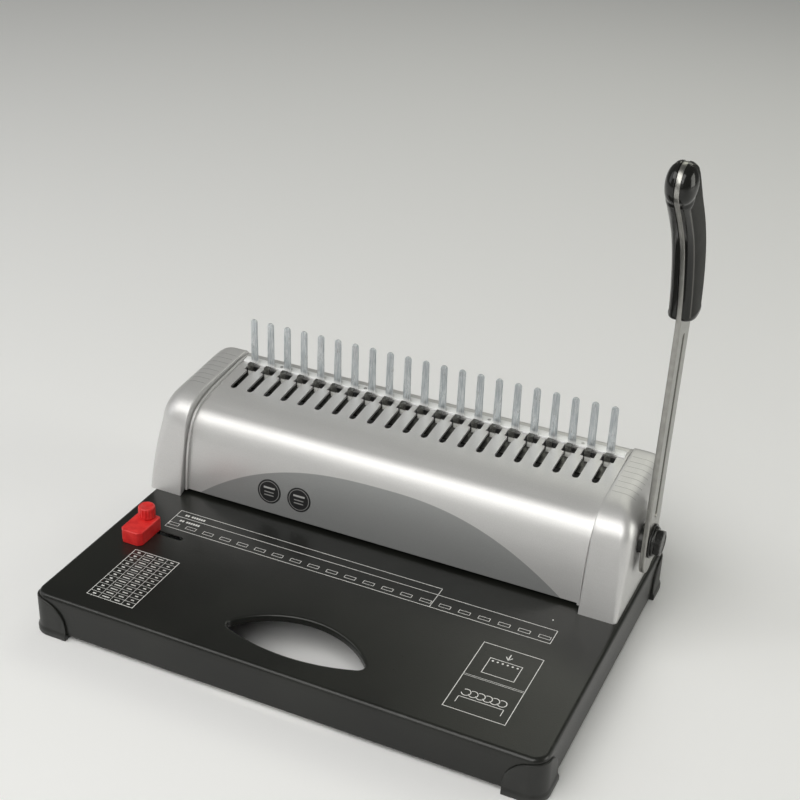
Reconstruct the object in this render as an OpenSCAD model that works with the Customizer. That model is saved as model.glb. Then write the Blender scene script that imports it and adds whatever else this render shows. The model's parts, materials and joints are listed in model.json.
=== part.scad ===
// Desk comb binding machine: punches a row of slots in paper and opens plastic combs.
// Millimetres, +Z up, front towards -Y. The origin lies on the table, under the middle of the
// machine's outline. One lever turns one shaft: cams press the punch bar down, cranks draw the rake.

/* [Base] */
// Width of the sheet steel base
base_w = 366; // [350:1:420]
// Depth of the base, front to rear
base_d = 254; // [246:1:300]
// Height of the base walls
wall_h = 28; // [26:1:50]
// Thickness of the base sheet
sheet_t = 1.2; // [0.8:0.1:2]
// Radius of the upright corners
base_r = 10; // [6:1:16]
// Radius of the fold along the top edge
fold_r = 3; // [2:0.5:4]

/* [Feet] */
// Height of the feet under the walls
foot_drop = 4; // [3:0.5:8]
// How far the feet stand out from the walls
foot_proud = 2.6; // [1.5:0.1:4]
// Length of a foot along each wall
foot_len = 25; // [20:1:34]
// Height of a foot at the corner
foot_h = 29; // [24:1:31]

/* [Hand hole] */
// Distance from the front edge to the hole's front apex
hole_front = 18.5; // [14:0.5:30]
// Depth of the hole between its two apexes
hole_d = 39; // [30:0.5:46]
// Width of the hole
hole_w = 101; // [80:1:103]
// Radius of the rear arc
hole_rear_r = 64; // [60:1:70]
// Radius of the front arc
hole_front_r = 133; // [110:1:160]
// Depth of the flange turned down round the hole
hole_flange = 8; // [4:0.5:12]

/* [Punch head] */
// Pitch of the slots, nine sixteenths of an inch
pitch = 14.2875; // [13:0.0125:14.5]
// How much wider the head is than the base
head_over = 1; // [-6:0.5:4]
// Least distance from a cover end to the middle of the nearest slot
slot_margin = 13.5; // [13:0.1:20]
// Width of each end cap
cap_w = 27; // [26:0.5:32]
// Offset of the head to the left of the base centre
head_offset = 3.75; // [0:0.25:5]
// Distance from the base's rear edge to the end caps
head_back = 0.5; // [0:0.1:6]
// Depth of the end caps
head_d = 106.5; // [105:0.5:112]
// Height of the end caps at the rear
cap_h = 77.2; // [76.5:0.1:84]
// Height of an end cap where its top begins
cap_shoulder_h = 74; // [72:0.5:76]
// Distance from the cap fronts to where the top begins
cap_shoulder_d = 42; // [40:0.5:46]
// Height of the straight front of an end cap
cap_front_h = 53.5; // [50:0.5:56]
// How far the straight front leans back
cap_front_lean = 11; // [8:0.5:12]
// Rounding of an end cap's side along its top
cap_round = 17; // [8:0.5:17.5]
// Rounding of an end cap's side at its foot
cap_foot_round = 3; // [2:0.5:7]
// Wall of the end caps
cap_wall = 2.4; // [1.6:0.1:3]
// Gap under the cover that takes the paper
throat = 3; // [2:0.1:4]
// Setback of the cover behind the cap fronts
cover_back = 7.5; // [6:0.5:9]
// Depth of the cover at its front shoulder
cover_shoulder_d = 32; // [30:0.5:34]
// Height of the cover at its front shoulder
cover_shoulder_h = 64.3; // [63:0.1:66]
// Depth where the flat top of the cover begins
flat_d = 56; // [54:0.5:60]
// Height where the flat top of the cover begins
flat_h = 69.3; // [68.5:0.1:71]
// Slope of the flat top, rising to the rear
slope = 5.6; // [3:0.1:6]
// Wall of the cover
cover_t = 2; // [1.2:0.1:2.4]
// Width of the lip that laps the cover's ends
lip_w = 2.7; // [1:0.1:5]
// Thickness of that lip
lip_t = 2.2; // [1:0.1:2.4]

/* [Comb] */
// Width of the slots in the cover
slot_w = 5; // [4.4:0.1:6]
// Where the slots start on the flat top
slot_front = -0.5; // [-1:0.1:4]
// Where the slots widen
head_start = 26.1; // [25.6:0.1:26.4]
// Width of the wide end
head_slot_w = 10; // [7:0.1:11]
// Where the comb plate starts
comb_start = 34.6; // [34:0.1:36]
// Depth of the comb plate's flange
comb_flange = 7; // [5:0.1:9]
// Thickness of the comb plate
comb_t = 1.6; // [1:0.1:2]
// Width of a tine
tine_w = 5; // [3.6:0.1:6]
// Height of a tine above the cover
tine_h = 39; // [28:0.5:46]

/* [Rake] */
// How far the rake lies under the cover's top
rake_drop = 5.4; // [5:0.1:5.6]
// Thickness of the rake
rake_t = 1.5; // [1:0.1:1.6]
// Front edge of the rake on the slope
rake_front = 13; // [10:0.5:18]
// Rear edge of the rake on the slope
rake_rear = 30; // [29:0.5:33]
// Width of a hook
hook_w = 4.2; // [3:0.1:4.3]
// Height of a hook above the cover
hook_h = 4.7; // [3:0.1:7]
// Reach of a hook's nose
hook_reach = 3.8; // [2.5:0.1:4.5]
// Crank radius that drives the rake
rake_crank = 17; // [14:0.5:17.5]
// Radius of the crank pins
crank_pin_r = 3; // [2:0.1:3.2]
// Side clearance of a crank pin between the rake's prongs
prong_clear = 0.7; // [0.6:0.05:1]

/* [Punch] */
// Depth of the shaft behind the cap fronts
shaft_d = 41; // [40.5:0.5:42]
// Height of the shaft over the base plate
shaft_h = 45.5; // [44:0.5:46]
// Radius of the shaft
shaft_r = 6; // [5:0.1:6.2]
// Half of the lever's stroke
half_stroke = 40; // [30:1:40]
// Fall of the punch bar for each radian of the lever
cam_lead = 6.6; // [5:0.1:6.8]
// Width of a cam
cam_w = 10; // [6:0.5:16]
// Width of a punch
punch_w = 8; // [6:0.1:8.2]
// Thickness of a punch
punch_t = 3; // [2:0.1:3.6]
// Distance from the paper's edge to the middle of the slots
margin = 5; // [4:0.1:6]
// Thickness of the die plate
die_t = 5; // [4:0.1:6]
// Thickness of the guide plate
guide_t = 8; // [6:0.1:9]
// Depth of the die and guide plates
die_d = 32; // [30:0.5:34]
// Height of the punch bar
bar_t = 10; // [8:0.1:11]
// Depth of the punch bar
bar_d = 18; // [16:0.5:19]
// Radius of the punch bar's guide posts
post_r = 3; // [2:0.1:3.2]
// Wire of the return springs
wire = 1; // [0.8:0.1:1.2]
// Turns of the return springs
turns = 6; // [4:1:7]
// Wall of the side frames
frame_t = 4; // [3.6:0.1:5]

/* [Lever] */
// Width of the lever bar
lever_w = 27; // [22:0.5:30]
// Thickness of the lever bar
lever_t = 3.6; // [2.5:0.1:6]
// Gap between the right cap and the lever
lever_gap = 3.7; // [2:0.1:8]
// Length of the lever under the shaft
lever_tail = 24; // [16:0.5:28]
// Straight length of the lever over the shaft
lever_straight = 152; // [120:1:200]
// Backward lean of the lever
lever_lean = 3.2; // [0:0.1:8]
// Radius of the bend in the grip
bend_r = 125; // [100:1:160]
// Forward turn of the bend
bend_turn = 43; // [20:1:50]
// Straight length above the bend
grip_top = 36; // [20:1:60]
// Distance from the shaft to the foot of the grip
grip_start = 164; // [140:1:180]
// Half width of the grip at its foot
grip_foot_w = 14; // [10:0.5:16]
// Half width of the grip at its belly
grip_belly_w = 15; // [12:0.1:17]
// Half width of the grip at its neck
grip_neck_w = 12.2; // [9:0.1:14]
// Half width of the grip at its knob
grip_knob_w = 13.2; // [10:0.1:16]
// Thickness of each grip half
grip_t = 8; // [5:0.1:12]
// Radius of the lever bolt's flange
bolt_r = 10.5; // [8:0.1:12]
// Radius of the lever bolt's shank
bolt_shank_r = 4; // [3:0.1:4.5]
// Thickness of the washer under the lever bolt
washer_t = 1.4; // [0.8:0.1:2]

/* [Edge stop] */
// Distance from the base's left edge to the stop's screw
stop_side = 26; // [21:0.5:33]
// Distance from the cap fronts to the stop's screw
stop_ahead = 48.2; // [40:0.1:56]
// Width of the stop
stop_w = 17.7; // [14:0.1:22]
// Length of the stop
stop_d = 27; // [22:0.5:34]
// Length of the stop behind its screw
stop_rear = 4.8; // [4.4:0.1:10]
// Height of the stop
stop_h = 10.7; // [8:0.1:14]
// Radius of the stop's knob
knob_r = 6.2; // [4.5:0.1:8]
// Height of the stop's knob
knob_h = 9.3; // [6:0.1:14]
// Radius of the stop's screw
stop_screw_r = 2; // [1:0.1:2.4]
// Travel of the stop towards the middle
stop_in = 27; // [15:1:34]
// Travel of the stop towards the edge
stop_out = 4; // [1:0.5:8]

/* [Chip tray] */
// Room between each end of the cover and the chip tray
tray_side = 6.5; // [4.5:0.5:30]
// Wall of the chip tray
tray_t = 1.6; // [1:0.1:2.4]
// Depth of the chip tray
tray_d = 85; // [70:1:95]
// Height of the chip tray
tray_h = 19; // [12:0.5:19.5]

/* [Hidden] */
$fn = 48;
// Clearance of a screw or pin in its hole
fit = 0.05;
// Clearance of a moving flat face
slide = 0.3;
// Cutters run past the faces they cut by this
past = 1;

plate_z = wall_h + foot_drop;
head_x = -(lever_gap + lever_t + grip_t) / 2;
base_x = head_x + head_offset;
head_y = base_d / 2 - head_back - head_d;
cover_w = base_w + head_over - 2 * cap_w;
cover_half = cover_w / 2;
slots = floor((cover_w - 2 * slot_margin) / pitch) + 1;
cam_step = cover_w / 3;
stop_x = base_w / 2 - stop_side;
stop_y = head_y - stop_ahead;
tray_w = cover_w - 2 * tray_side;
cap_side = 3.5;
// How far the two handles of a cap's shoulder curve reach
cap_bend = [12.5, 18];
cap_inner_wall = 2;
cap_end = cover_half + cap_w;
rear_r = 8;

// Side frames stand just inside the caps
frame_u = cover_half + 3.3;
die_half = frame_u - slide;
die_front = shaft_d - die_d / 2 + 1;
bar_front = shaft_d - bar_d / 2 - 1;
guide_h = throat;
guide_top = guide_h + guide_t;
cam_r = 11.2;
bar_top = shaft_h - cam_r - slide;
bar_h = bar_top - bar_t;
pocket = 4;
punch_foot = guide_h + 1.2;
post_u = (slots - 1) / 2 * pitch + punch_w / 2 + 6.3;
bar_half = frame_u - 1;
post_top = shaft_h - shaft_r - 1.5;
spring_r = post_r + 0.7 + wire / 2;
spring_bore = spring_r + wire / 2 + 0.6;
spring_pocket = 5;
spring_len = bar_h + spring_pocket - guide_top;

// The rake lies on the side frames and slides along the cover's slope
rake_low = rake_drop + rake_t;
rake_travel = 2 * rake_crank * sin(half_stroke) / cos(slope);
pin_d = shaft_d + rake_crank * sin(half_stroke);
pin_h = shaft_h + rake_crank * cos(half_stroke);
prong_t = 4;
prong_root = 0.4;
prong_u = frame_u + frame_t + slide + prong_root;
prong_w = 3;
prong_foot = pin_h - crank_pin_r - 1;
prong_top = prong_foot + 10;
ear_front = pin_d - crank_pin_r - prong_clear - prong_t;
crank_u = prong_u + prong_w + slide + 0.1;
crank_w = 4;
crank_hub_r = 10;
// The caps are hollow to their thin wall as far out as the cranks
cap_room_u = crank_u + crank_w + 0.7;
stud_r = 1.4;
stud_places = [-8, 2];
stud_u = frame_u + frame_t / 2;
flange_w = 11;
frame_foot = 2;
frame_front = 24;
frame_rear = 98;
bush_r = 10;
run_fit = 0.06;

lever_u = cap_end + lever_gap;
lever_out = lever_u + lever_t;
lever_len = lever_straight + bend_r * bend_turn * PI / 180 + grip_top;
bolt_head = grip_t - washer_t - 0.2;
grip_screws_at = [for (share = [0.16, 0.62]) grip_start + share * (lever_len - grip_start)];
grip_screw_r = 2;

tray_rear = base_d / 2 - head_y;
tray_top = -die_t - 2;
tray_foot = tray_top - tray_h;
runner_w = 4;
runner_lip = 1.4;
rail_h = 18;
rail_t = 1.5;
rail_d = 12;
screw_r = 2;
cap_boss = [frame_u + frame_t + 4.6, 11, head_d - 9.5];
frame_screw_d = [34, 76];
block_screw_d = [die_front + 5, die_front + die_d - 7];
die_screw_u = [for (share = [-0.77, -0.26, 0.26, 0.77]) share * cover_half];
cover_screw_u = [for (share = [-0.8, -0.29, 0.29, 0.8]) share * cover_half];
rail_screw_u = [for (share = [-0.64, 0, 0.64]) share * cover_half];
// Rivets stand between two tines, this many from either end
rivet_u = [for (gap = [2, 7], side = [-1, 1]) side * (slots / 2 - gap) * pitch];
rivet_r = 1.5;
boss_h = 18;
boss_r = 4.4;
bolt_hole = 18;

steel = "#9a9da0";
zinc = "#b9b6a6";
silver = "#b4b7ba";
black = "#1b1d1e";
red = "#c3141c";

// Places a shape in the head's own frame: u along X from the head's middle, d behind the cap
// fronts, h over the base plate
module at_head() {
    translate([head_x, head_y, plate_z])
        children();
}

module at_base() {
    translate([base_x, 0, 0])
        children();
}

// Local Y runs up the cover's slope and local Z stands out of its flat top
module on_slope() {
    translate([0, flat_d, flat_h])
        rotate([slope, 0, 0])
            children();
}

// Extrudes a depth and height outline along the width
module along_x(start, length) {
    translate([start, 0, 0])
        rotate([90, 0, 90])
            linear_extrude(length)
                children();
}

module rod_x(start, length, r, d = shaft_d, h = shaft_h) {
    translate([start, d, h])
        rotate([0, 90, 0])
            cylinder(r = r, h = length);
}

module rod_z(u, d, low, high, r) {
    translate([u, d, low])
        cylinder(r = r, h = high - low);
}

module block(low, high) {
    translate(low)
        cube(high - low);
}

module rounded(w, d, r) {
    square([w - 2 * r, d], center = true);
    square([w, d - 2 * r], center = true);
    for (x = [-1, 1], y = [-1, 1])
        translate([x * (w / 2 - r), y * (d / 2 - r)])
            circle(r);
}

module both_sides() {
    for (side = [0, 1])
        mirror([side, 0, 0])
            children();
}

function bezier(a, b, c, e, n) = [for (i = [0 : n]) let (t = i / n)
    pow(1 - t, 3) * a + 3 * pow(1 - t, 2) * t * b + 3 * (1 - t) * t * t * c + pow(t, 3) * e];

function smooth(x) = let (t = min(1, max(0, x))) t * t * (3 - 2 * t);

function but_first(list) = [for (i = [1 : len(list) - 1]) list[i]];

function arc(centre, r, from, to, n) = [for (i = [0 : n]) let (a = from + (to - from) * i / n)
    centre + r * [cos(a), sin(a)]];

// Outward normals of an open outline that starts and ends on upright walls
function outward(pts) = [for (i = [0 : len(pts) - 1])
    i == 0 ? [-1, 0] : i == len(pts) - 1 ? [1, 0] :
    let (run = pts[i + 1] - pts[i - 1]) [-run[1], run[0]] / norm(run)];

function inset(pts, by) = let (n = outward(pts)) [for (i = [0 : len(pts) - 1]) pts[i] - n[i] * by];

function dropped(pts, h) = concat([[pts[0][0], h]], pts, [[pts[len(pts) - 1][0], h]]);

// Outline of an end cap: a leaning front, a curve over the shoulder, a flat top and a rounded rear
cap_front_top = [cap_front_lean, cap_front_h];
cap_shoulder = [cap_shoulder_d, cap_shoulder_h];
cap_top = [head_d - rear_r, cap_h] - cap_shoulder;
cap_rise = concat(
    [for (i = [0 : 5]) cap_front_top * i / 6],
    bezier(cap_front_top, cap_front_top * (1 + cap_bend[0] / cap_front_h),
        cap_shoulder - cap_top * cap_bend[1] / cap_top[0], cap_shoulder, 10),
    [for (i = [1 : 4]) cap_shoulder + cap_top * i / 5]);
cap_line = concat(cap_rise, arc(cap_shoulder + cap_top - [0, rear_r], rear_r, 90, 0, 5), [[head_d, 0]]);

// Rounding of a cap's side at a point of its outline: small at the foot and the rear, large on top
function side_round(p) = p[0] < cap_shoulder_d
    ? cap_foot_round + (cap_round - cap_foot_round) * smooth(p[1] / cap_front_h)
    : cap_round + (rear_r - 0.5 - cap_round) * smooth((p[0] - cap_shoulder_d) / cap_top[0]);

function top_h(d) = flat_h + (d - flat_d) * tan(slope);

// Outline of the cover, from the paper gap to the foot of the rear wall
cover_edge_r = 4;
cover_line = concat(
    bezier([cover_back, throat], [cover_back + 3, throat + 41],
        [cover_shoulder_d - 15, cover_shoulder_h - 4.3], [cover_shoulder_d, cover_shoulder_h], 10),
    but_first(bezier([cover_shoulder_d, cover_shoulder_h],
        [cover_shoulder_d + 8, cover_shoulder_h + 3.2], [flat_d - 8, top_h(flat_d - 8)],
        [flat_d, flat_h], 6)),
    arc([head_d - cover_edge_r, top_h(head_d - cover_edge_r) - cover_edge_r / cos(slope)],
        cover_edge_r, 90 + slope, 0, 4),
    [[head_d, 0]]);

// Closes a stack of rings into a solid; rings turn clockwise seen from the last one
module loft(rings) {
    n = len(rings[0]);
    m = len(rings);
    sides = [for (j = [0 : m - 2], i = [0 : n - 1], half = [0, 1]) let (k = (i + 1) % n)
        half == 0 ? [j * n + i, j * n + k, (j + 1) * n + k]
            : [j * n + i, (j + 1) * n + k, (j + 1) * n + i]];
    ends = [[for (i = [0 : n - 1]) n - 1 - i], [for (i = [0 : n - 1]) (m - 1) * n + i]];
    polyhedron([for (ring = rings) each ring], concat(ends, sides), convexity = 6);
}

module hand_hole(grow) {
    front = -base_d / 2 + hole_front;
    intersection() {
        translate([0, front + hole_d - hole_rear_r])
            circle(hole_rear_r + grow);
        translate([0, front + hole_front_r])
            circle(hole_front_r + grow);
        translate([0, front + hole_d / 2])
            square([hole_w + 2 * grow, 2 * hole_d], center = true);
    }
}

module base_shell() {
    // The fold is a stack of slices, each a little narrower and taller than the last
    steps = 4;
    for (i = [1 : steps]) {
        cut = fold_r * (1 - cos(90 * (i - 1) / steps));
        translate([0, 0, foot_drop])
            linear_extrude(wall_h - fold_r * (1 - sin(90 * i / steps)))
                rounded(base_w - 2 * cut, base_d - 2 * cut, base_r - cut);
    }
}

module base_tray() {
    color(black) {
        difference() {
            at_base()
                base_shell();
            at_base()
                translate([0, 0, foot_drop - past])
                    linear_extrude(wall_h + past - sheet_t)
                        rounded(base_w - 2 * fold_r, base_d - 2 * fold_r, base_r - fold_r);
            at_base()
                translate([0, 0, foot_drop - past])
                    linear_extrude(wall_h + past - fold_r - sheet_t)
                        rounded(base_w - 2 * sheet_t, base_d - 2 * sheet_t, base_r - sheet_t);
            at_base()
                translate([0, 0, foot_drop])
                    linear_extrude(wall_h + past)
                        hand_hole(0);
            at_base()
                stop_slot();
            at_head() {
                block([-die_half - 0.2, die_front - 0.2, -die_t - past],
                    [die_half + 0.2, die_front + die_d + 0.2, past]);
                block([-tray_w / 2 - 1, tray_rear - fold_r - past, tray_foot - 6],
                    [tray_w / 2 + 1, tray_rear + past, tray_top + slide]);
                base_screw_holes();
            }
        }
        at_base()
            translate([0, 0, plate_z - hole_flange])
                linear_extrude(hole_flange - sheet_t / 2)
                    difference() {
                        hand_hole(sheet_t);
                        hand_hole(0);
                    }
    }
}

module stop_slot() {
    w = 2 * stop_screw_r + 0.3;
    block([-stop_x - stop_out - w / 2, stop_y - w / 2, plate_z - sheet_t - past],
        [-stop_x + stop_in + w / 2, stop_y + w / 2, plate_z + past]);
}

module base_screw_holes() {
    low = -sheet_t - past;
    both_sides() {
        for (d = frame_screw_d)
            rod_z(frame_u + frame_t + flange_w / 2, d, low, past, screw_r + fit);
        for (d = [cap_boss[1], cap_boss[2]])
            rod_z(cap_boss[0], d, low, past, screw_r + fit);
    }
    for (u = rail_screw_u)
        rod_z(u, head_d - cover_t - rail_d / 2, low, past, screw_r + fit);
}

// One corner foot, drawn for the rear right corner
module foot() {
    outer_r = base_r + foot_proud;
    half_w = base_w / 2;
    half_d = base_d / 2;
    arch = [for (i = [0 : 8]) let (a = 90 * i / 8)
        [foot_len + foot_proud - (foot_len - 3) * (1 - cos(a)), 9 + (foot_h - 9) * sin(a)]];
    side = concat([[0, 0], [foot_len + foot_proud, 0]], arch, [[0, foot_h]]);
    difference() {
        intersection() {
            linear_extrude(foot_h)
                rounded(base_w + 2 * foot_proud, base_d + 2 * foot_proud, outer_r);
            translate([half_w + foot_proud, half_d + foot_proud, 0])
                rotate([90, 0, 0])
                    linear_extrude(foot_len + foot_proud)
                        mirror([1, 0])
                            polygon(side);
            translate([half_w + foot_proud, half_d + foot_proud, 0])
                rotate([90, 0, -90])
                    linear_extrude(foot_len + foot_proud)
                        polygon(side);
        }
        translate([0, 0, foot_drop])
            linear_extrude(foot_h)
                rounded(base_w, base_d, base_r);
    }
}

module placed_foot(x, y) {
    color("#151617")
        at_base()
            mirror([x, 0, 0])
                mirror([0, y, 0])
                    foot();
}

module foot_front_left() placed_foot(1, 1);
module foot_front_right() placed_foot(0, 1);
module foot_rear_left() placed_foot(1, 0);
module foot_rear_right() placed_foot(0, 0);

// An end cap, drawn for the right side
module end_cap() {
    out = outward(cap_line);
    flat = [for (p = cap_line) [cover_half, p[0], p[1]]];
    bent = [for (a = [0 : 15 : 90]) [for (i = [0 : len(cap_line) - 1])
        let (r = side_round(cap_line[i]), p = cap_line[i] - out[i] * r * (1 - cos(a)))
        [cap_end - r * (1 - sin(a)), p[0], p[1]]]];
    cavity = dropped(inset(cap_line, cap_wall), -past);
    narrow = cap_round / 2;
    rise = inset(cap_rise, narrow);
    side_room = concat([[narrow, -past]], [for (i = [1 : len(rise) - 2]) rise[i]],
        [[head_d - narrow, cap_h - narrow], [head_d - narrow, -past]]);
    window = dropped(inset(cover_line, cover_t + 0.2), -past);
    lip = inset(cover_line, -lip_t);
    difference() {
        union() {
            difference() {
                loft(concat([flat], bent));
                along_x(cover_half + cap_inner_wall, cap_room_u - cover_half - cap_inner_wall)
                    polygon(cavity);
                along_x(cap_room_u - past, cap_end - cap_side - cap_room_u + past)
                    polygon(side_room);
                along_x(cover_half - past, cap_inner_wall + 2 * past)
                    polygon(window);
            }
            difference() {
                along_x(cover_half - lip_w, lip_w + cap_inner_wall / 2)
                    polygon(lip);
                along_x(cover_half - lip_w - past, lip_w + cap_inner_wall + past)
                    polygon(dropped(cover_line, -past));
                block([cover_half - lip_w - past, head_d - past, -past],
                    [cover_half + cap_inner_wall, head_d + 2 * lip_t, cap_h + lip_t]);
            }
            for (end = [0, 1]) {
                d = cap_boss[1 + end];
                wall = end == 0 ? cap_wall - 0.4 : head_d - cap_wall / 2;
                rod_z(cap_boss[0], d, 0, boss_h, boss_r);
                block([cap_boss[0] - 1, min(d, wall), 0], [cap_boss[0] + 1, max(d, wall), boss_h - 6]);
            }
        }
        for (d = [cap_boss[1], cap_boss[2]])
            rod_z(cap_boss[0], d, -past, boss_h - 4, screw_r + fit);
    }
}

module left_end_cap() {
    color(silver)
        at_head()
            mirror([1, 0, 0])
                end_cap();
}

module right_end_cap() {
    color(silver)
        at_head()
            difference() {
                end_cap();
                rod_x(cap_end - cap_side - past, cap_side + 2 * past, crank_hub_r + 0.4);
            }
}

module top_cover() {
    inner = dropped(inset(cover_line, cover_t), -past);
    color(silver)
        at_head()
            difference() {
                along_x(-cover_half, cover_w)
                    polygon(cover_line);
                along_x(-cover_half - past, cover_w + 2 * past)
                    polygon(inner);
                on_slope() {
                    for (i = [0 : slots - 1])
                        translate([(i - (slots - 1) / 2) * pitch, 0, 0])
                            comb_slot();
                    for (u = rivet_u)
                        rod_z(u, comb_start + comb_flange / 2, -cover_t - past, past, rivet_r + fit);
                }
                for (u = cover_screw_u)
                    translate([u, head_d + past, rail_h / 2])
                        rotate([90, 0, 0])
                            cylinder(r = screw_r + fit, h = cover_t + 2 * past);
            }
}

module comb_slot() {
    low = -cover_t - past;
    rod_z(0, slot_front + slot_w / 2, low, past, slot_w / 2);
    block([-slot_w / 2, slot_front + slot_w / 2, low], [slot_w / 2, head_start + 1, past]);
    block([-head_slot_w / 2, head_start, low], [head_slot_w / 2, comb_start - 0.1, past]);
}

module comb_plate() {
    span = cover_w - 2 * lip_w - 1;
    color(zinc)
        at_head() {
            on_slope()
                difference() {
                    block([-span / 2, comb_start, 0], [span / 2, comb_start + comb_flange, comb_t]);
                    for (u = rivet_u)
                        rod_z(u, comb_start + comb_flange / 2, -past, comb_t + past, rivet_r + fit);
                }
            for (i = [0 : slots - 1])
                translate([(i - (slots - 1) / 2) * pitch, 0, 0])
                    tine();
        }
}

// A tine stands upright from the front edge of the comb plate
module tine() {
    d = flat_d + comb_start * cos(slope);
    foot = top_h(d);
    block([-tine_w / 2, d - comb_t + 0.2, foot], [tine_w / 2, d + 0.2, foot + tine_h - tine_w / 2]);
    translate([0, d + 0.2, foot + tine_h - tine_w / 2])
        rotate([90, 0, 0])
            cylinder(r = tine_w / 2, h = comb_t);
}

module comb_rivets() {
    color(steel)
        at_head()
            on_slope()
                for (u = rivet_u) {
                    rod_z(u, comb_start + comb_flange / 2, -cover_t, comb_t, rivet_r);
                    rod_z(u, comb_start + comb_flange / 2, -cover_t - 1.2, -cover_t, 2 * rivet_r);
                }
}

// Angle rail that the cover's rear wall is screwed to
module cover_rail() {
    rear = head_d - cover_t;
    half = cover_half - 8;
    color(steel)
        at_head()
            difference() {
                union() {
                    block([-half, rear - rail_t, 0], [half, rear, rail_h]);
                    block([-half, rear - rail_d, 0], [half, rear, rail_t]);
                }
                for (u = rail_screw_u)
                    rod_z(u, rear - rail_d / 2, -past, rail_t + past, screw_r + fit);
                for (u = cover_screw_u)
                    translate([u, rear + past, rail_h / 2])
                        rotate([90, 0, 0])
                            cylinder(r = screw_r + fit, h = rail_t + 2 * past);
            }
}

// Pan head screw: the head's underside at the origin, shank downwards
module pan_screw(length, r = screw_r) {
    cylinder(r = 1.8 * r, h = 1.1 * r);
    translate([0, 0, -length])
        cylinder(r = r, h = length);
}

module rail_screws() {
    color(steel)
        at_head()
            for (u = rail_screw_u)
                translate([u, head_d - cover_t - rail_d / 2, rail_t])
                    pan_screw(rail_t + sheet_t + 2);
}

module cover_screws() {
    color(black)
        at_head()
            for (u = cover_screw_u)
                translate([u, head_d, rail_h / 2])
                    rotate([-90, 0, 0])
                        pan_screw(cover_t + rail_t + 3);
}

module cap_screws() {
    color(steel)
        at_head()
            both_sides()
                for (d = [cap_boss[1], cap_boss[2]])
                    translate([cap_boss[0], d, -sheet_t])
                        rotate([180, 0, 0])
                            pan_screw(sheet_t + 11);
}

// A side frame, drawn for the right side: plate, turned-out foot, holes
module side_frame() {
    rest = rake_low / cos(slope) + slide;
    outline = [[frame_front, 0], [frame_rear, 0], [frame_rear, top_h(frame_rear) - rest],
        [frame_front + 12, top_h(frame_front + 12) - rest], [frame_front, shaft_h - 6]];
    difference() {
        union() {
            along_x(frame_u, frame_t)
                polygon(outline);
            block([frame_u + frame_t, frame_front + 2, 0],
                [frame_u + frame_t + flange_w, frame_rear - 14, frame_foot]);
        }
        rod_x(frame_u - past, frame_t + 2 * past, bush_r);
        for (d = frame_screw_d)
            rod_z(frame_u + frame_t + flange_w / 2, d, -past, frame_foot + past, screw_r + fit);
        for (d = block_screw_d)
            rod_x(frame_u - past, frame_t + 2 * past, screw_r + fit, d, guide_h + guide_t / 2);
        on_slope()
            for (y = stud_places)
                rod_z(stud_u, y, -rake_low - 8, past, stud_r + fit);
    }
}

module left_side_frame() {
    color(steel)
        at_head()
            mirror([1, 0, 0])
                side_frame();
}

module right_side_frame() {
    color(steel)
        at_head()
            side_frame();
}

module frame_screws() {
    color(steel)
        at_head()
            both_sides()
                for (d = frame_screw_d)
                    translate([frame_u + frame_t + flange_w / 2, d, frame_foot])
                        pan_screw(frame_foot + sheet_t + 3);
}

module punch_holes(low, high, clear) {
    for (i = [0 : slots - 1]) {
        u = (i - (slots - 1) / 2) * pitch;
        block([u - punch_w / 2 - clear, shaft_d - punch_t / 2 - clear, low],
            [u + punch_w / 2 + clear, shaft_d + punch_t / 2 + clear, high]);
    }
}

module die_screw_holes(low, high) {
    for (u = die_screw_u)
        rod_z(u, block_screw_d[1], low, high, screw_r + fit);
}

module die_plate() {
    color("#84878a")
        at_head()
            difference() {
                block([-die_half, die_front, -die_t], [die_half, die_front + die_d, 0]);
                punch_holes(-die_t - past, past, 0.1);
                die_screw_holes(-die_t - past, past);
            }
}

// Bar between die and guide: its front face stops the paper
module throat_spacer() {
    color(steel)
        at_head()
            difference() {
                block([-die_half, shaft_d + margin, 0], [die_half, die_front + die_d, throat]);
                die_screw_holes(-past, throat + past);
            }
}

module guide_plate() {
    color("#84878a")
        at_head()
            difference() {
                block([-die_half, die_front, guide_h], [die_half, die_front + die_d, guide_top]);
                punch_holes(guide_h - past, guide_top + past, 0.1);
                die_screw_holes(guide_h - past, guide_top + past);
                both_sides() {
                    rod_z(post_u, shaft_d, guide_h + 2, guide_top + past, post_r);
                    for (d = block_screw_d)
                        rod_x(die_half - 12, 12 + past, screw_r + fit, d, guide_h + guide_t / 2);
                }
            }
}

module die_screws() {
    color(black)
        at_head()
            for (u = die_screw_u) {
                rod_z(u, block_screw_d[1], -die_t, guide_top, screw_r);
                rod_z(u, block_screw_d[1], guide_top, guide_top + 3, 3.4);
            }
}

module block_screws() {
    color(black)
        at_head()
            both_sides()
                for (d = block_screw_d)
                    translate([frame_u + frame_t, d, guide_h + guide_t / 2])
                        rotate([0, 90, 0])
                            pan_screw(frame_t + 10);
}

module guide_posts() {
    color(steel)
        at_head()
            both_sides()
                rod_z(post_u, shaft_d, guide_h + 2, post_top, post_r);
}

module bush() {
    difference() {
        rod_x(frame_u - 2.8, frame_t + 2.8, bush_r);
        rod_x(frame_u - 3 - past, frame_t + 4 + past, shaft_r + run_fit);
    }
}

module left_bush() {
    color("#a5814c")
        at_head()
            mirror([1, 0, 0])
                bush();
}

module right_bush() {
    color("#a5814c")
        at_head()
            bush();
}

// Headed studs on the side frames that hold the rake down
module rake_studs() {
    color(steel)
        at_head()
            on_slope()
                both_sides()
                    for (y = stud_places) {
                        rod_z(stud_u, y, -rake_low - 7, slide - rake_drop, stud_r);
                        rod_z(stud_u, y, slide - rake_drop, slide + 1.3 - rake_drop, stud_r + 0.8);
                    }
}

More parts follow.
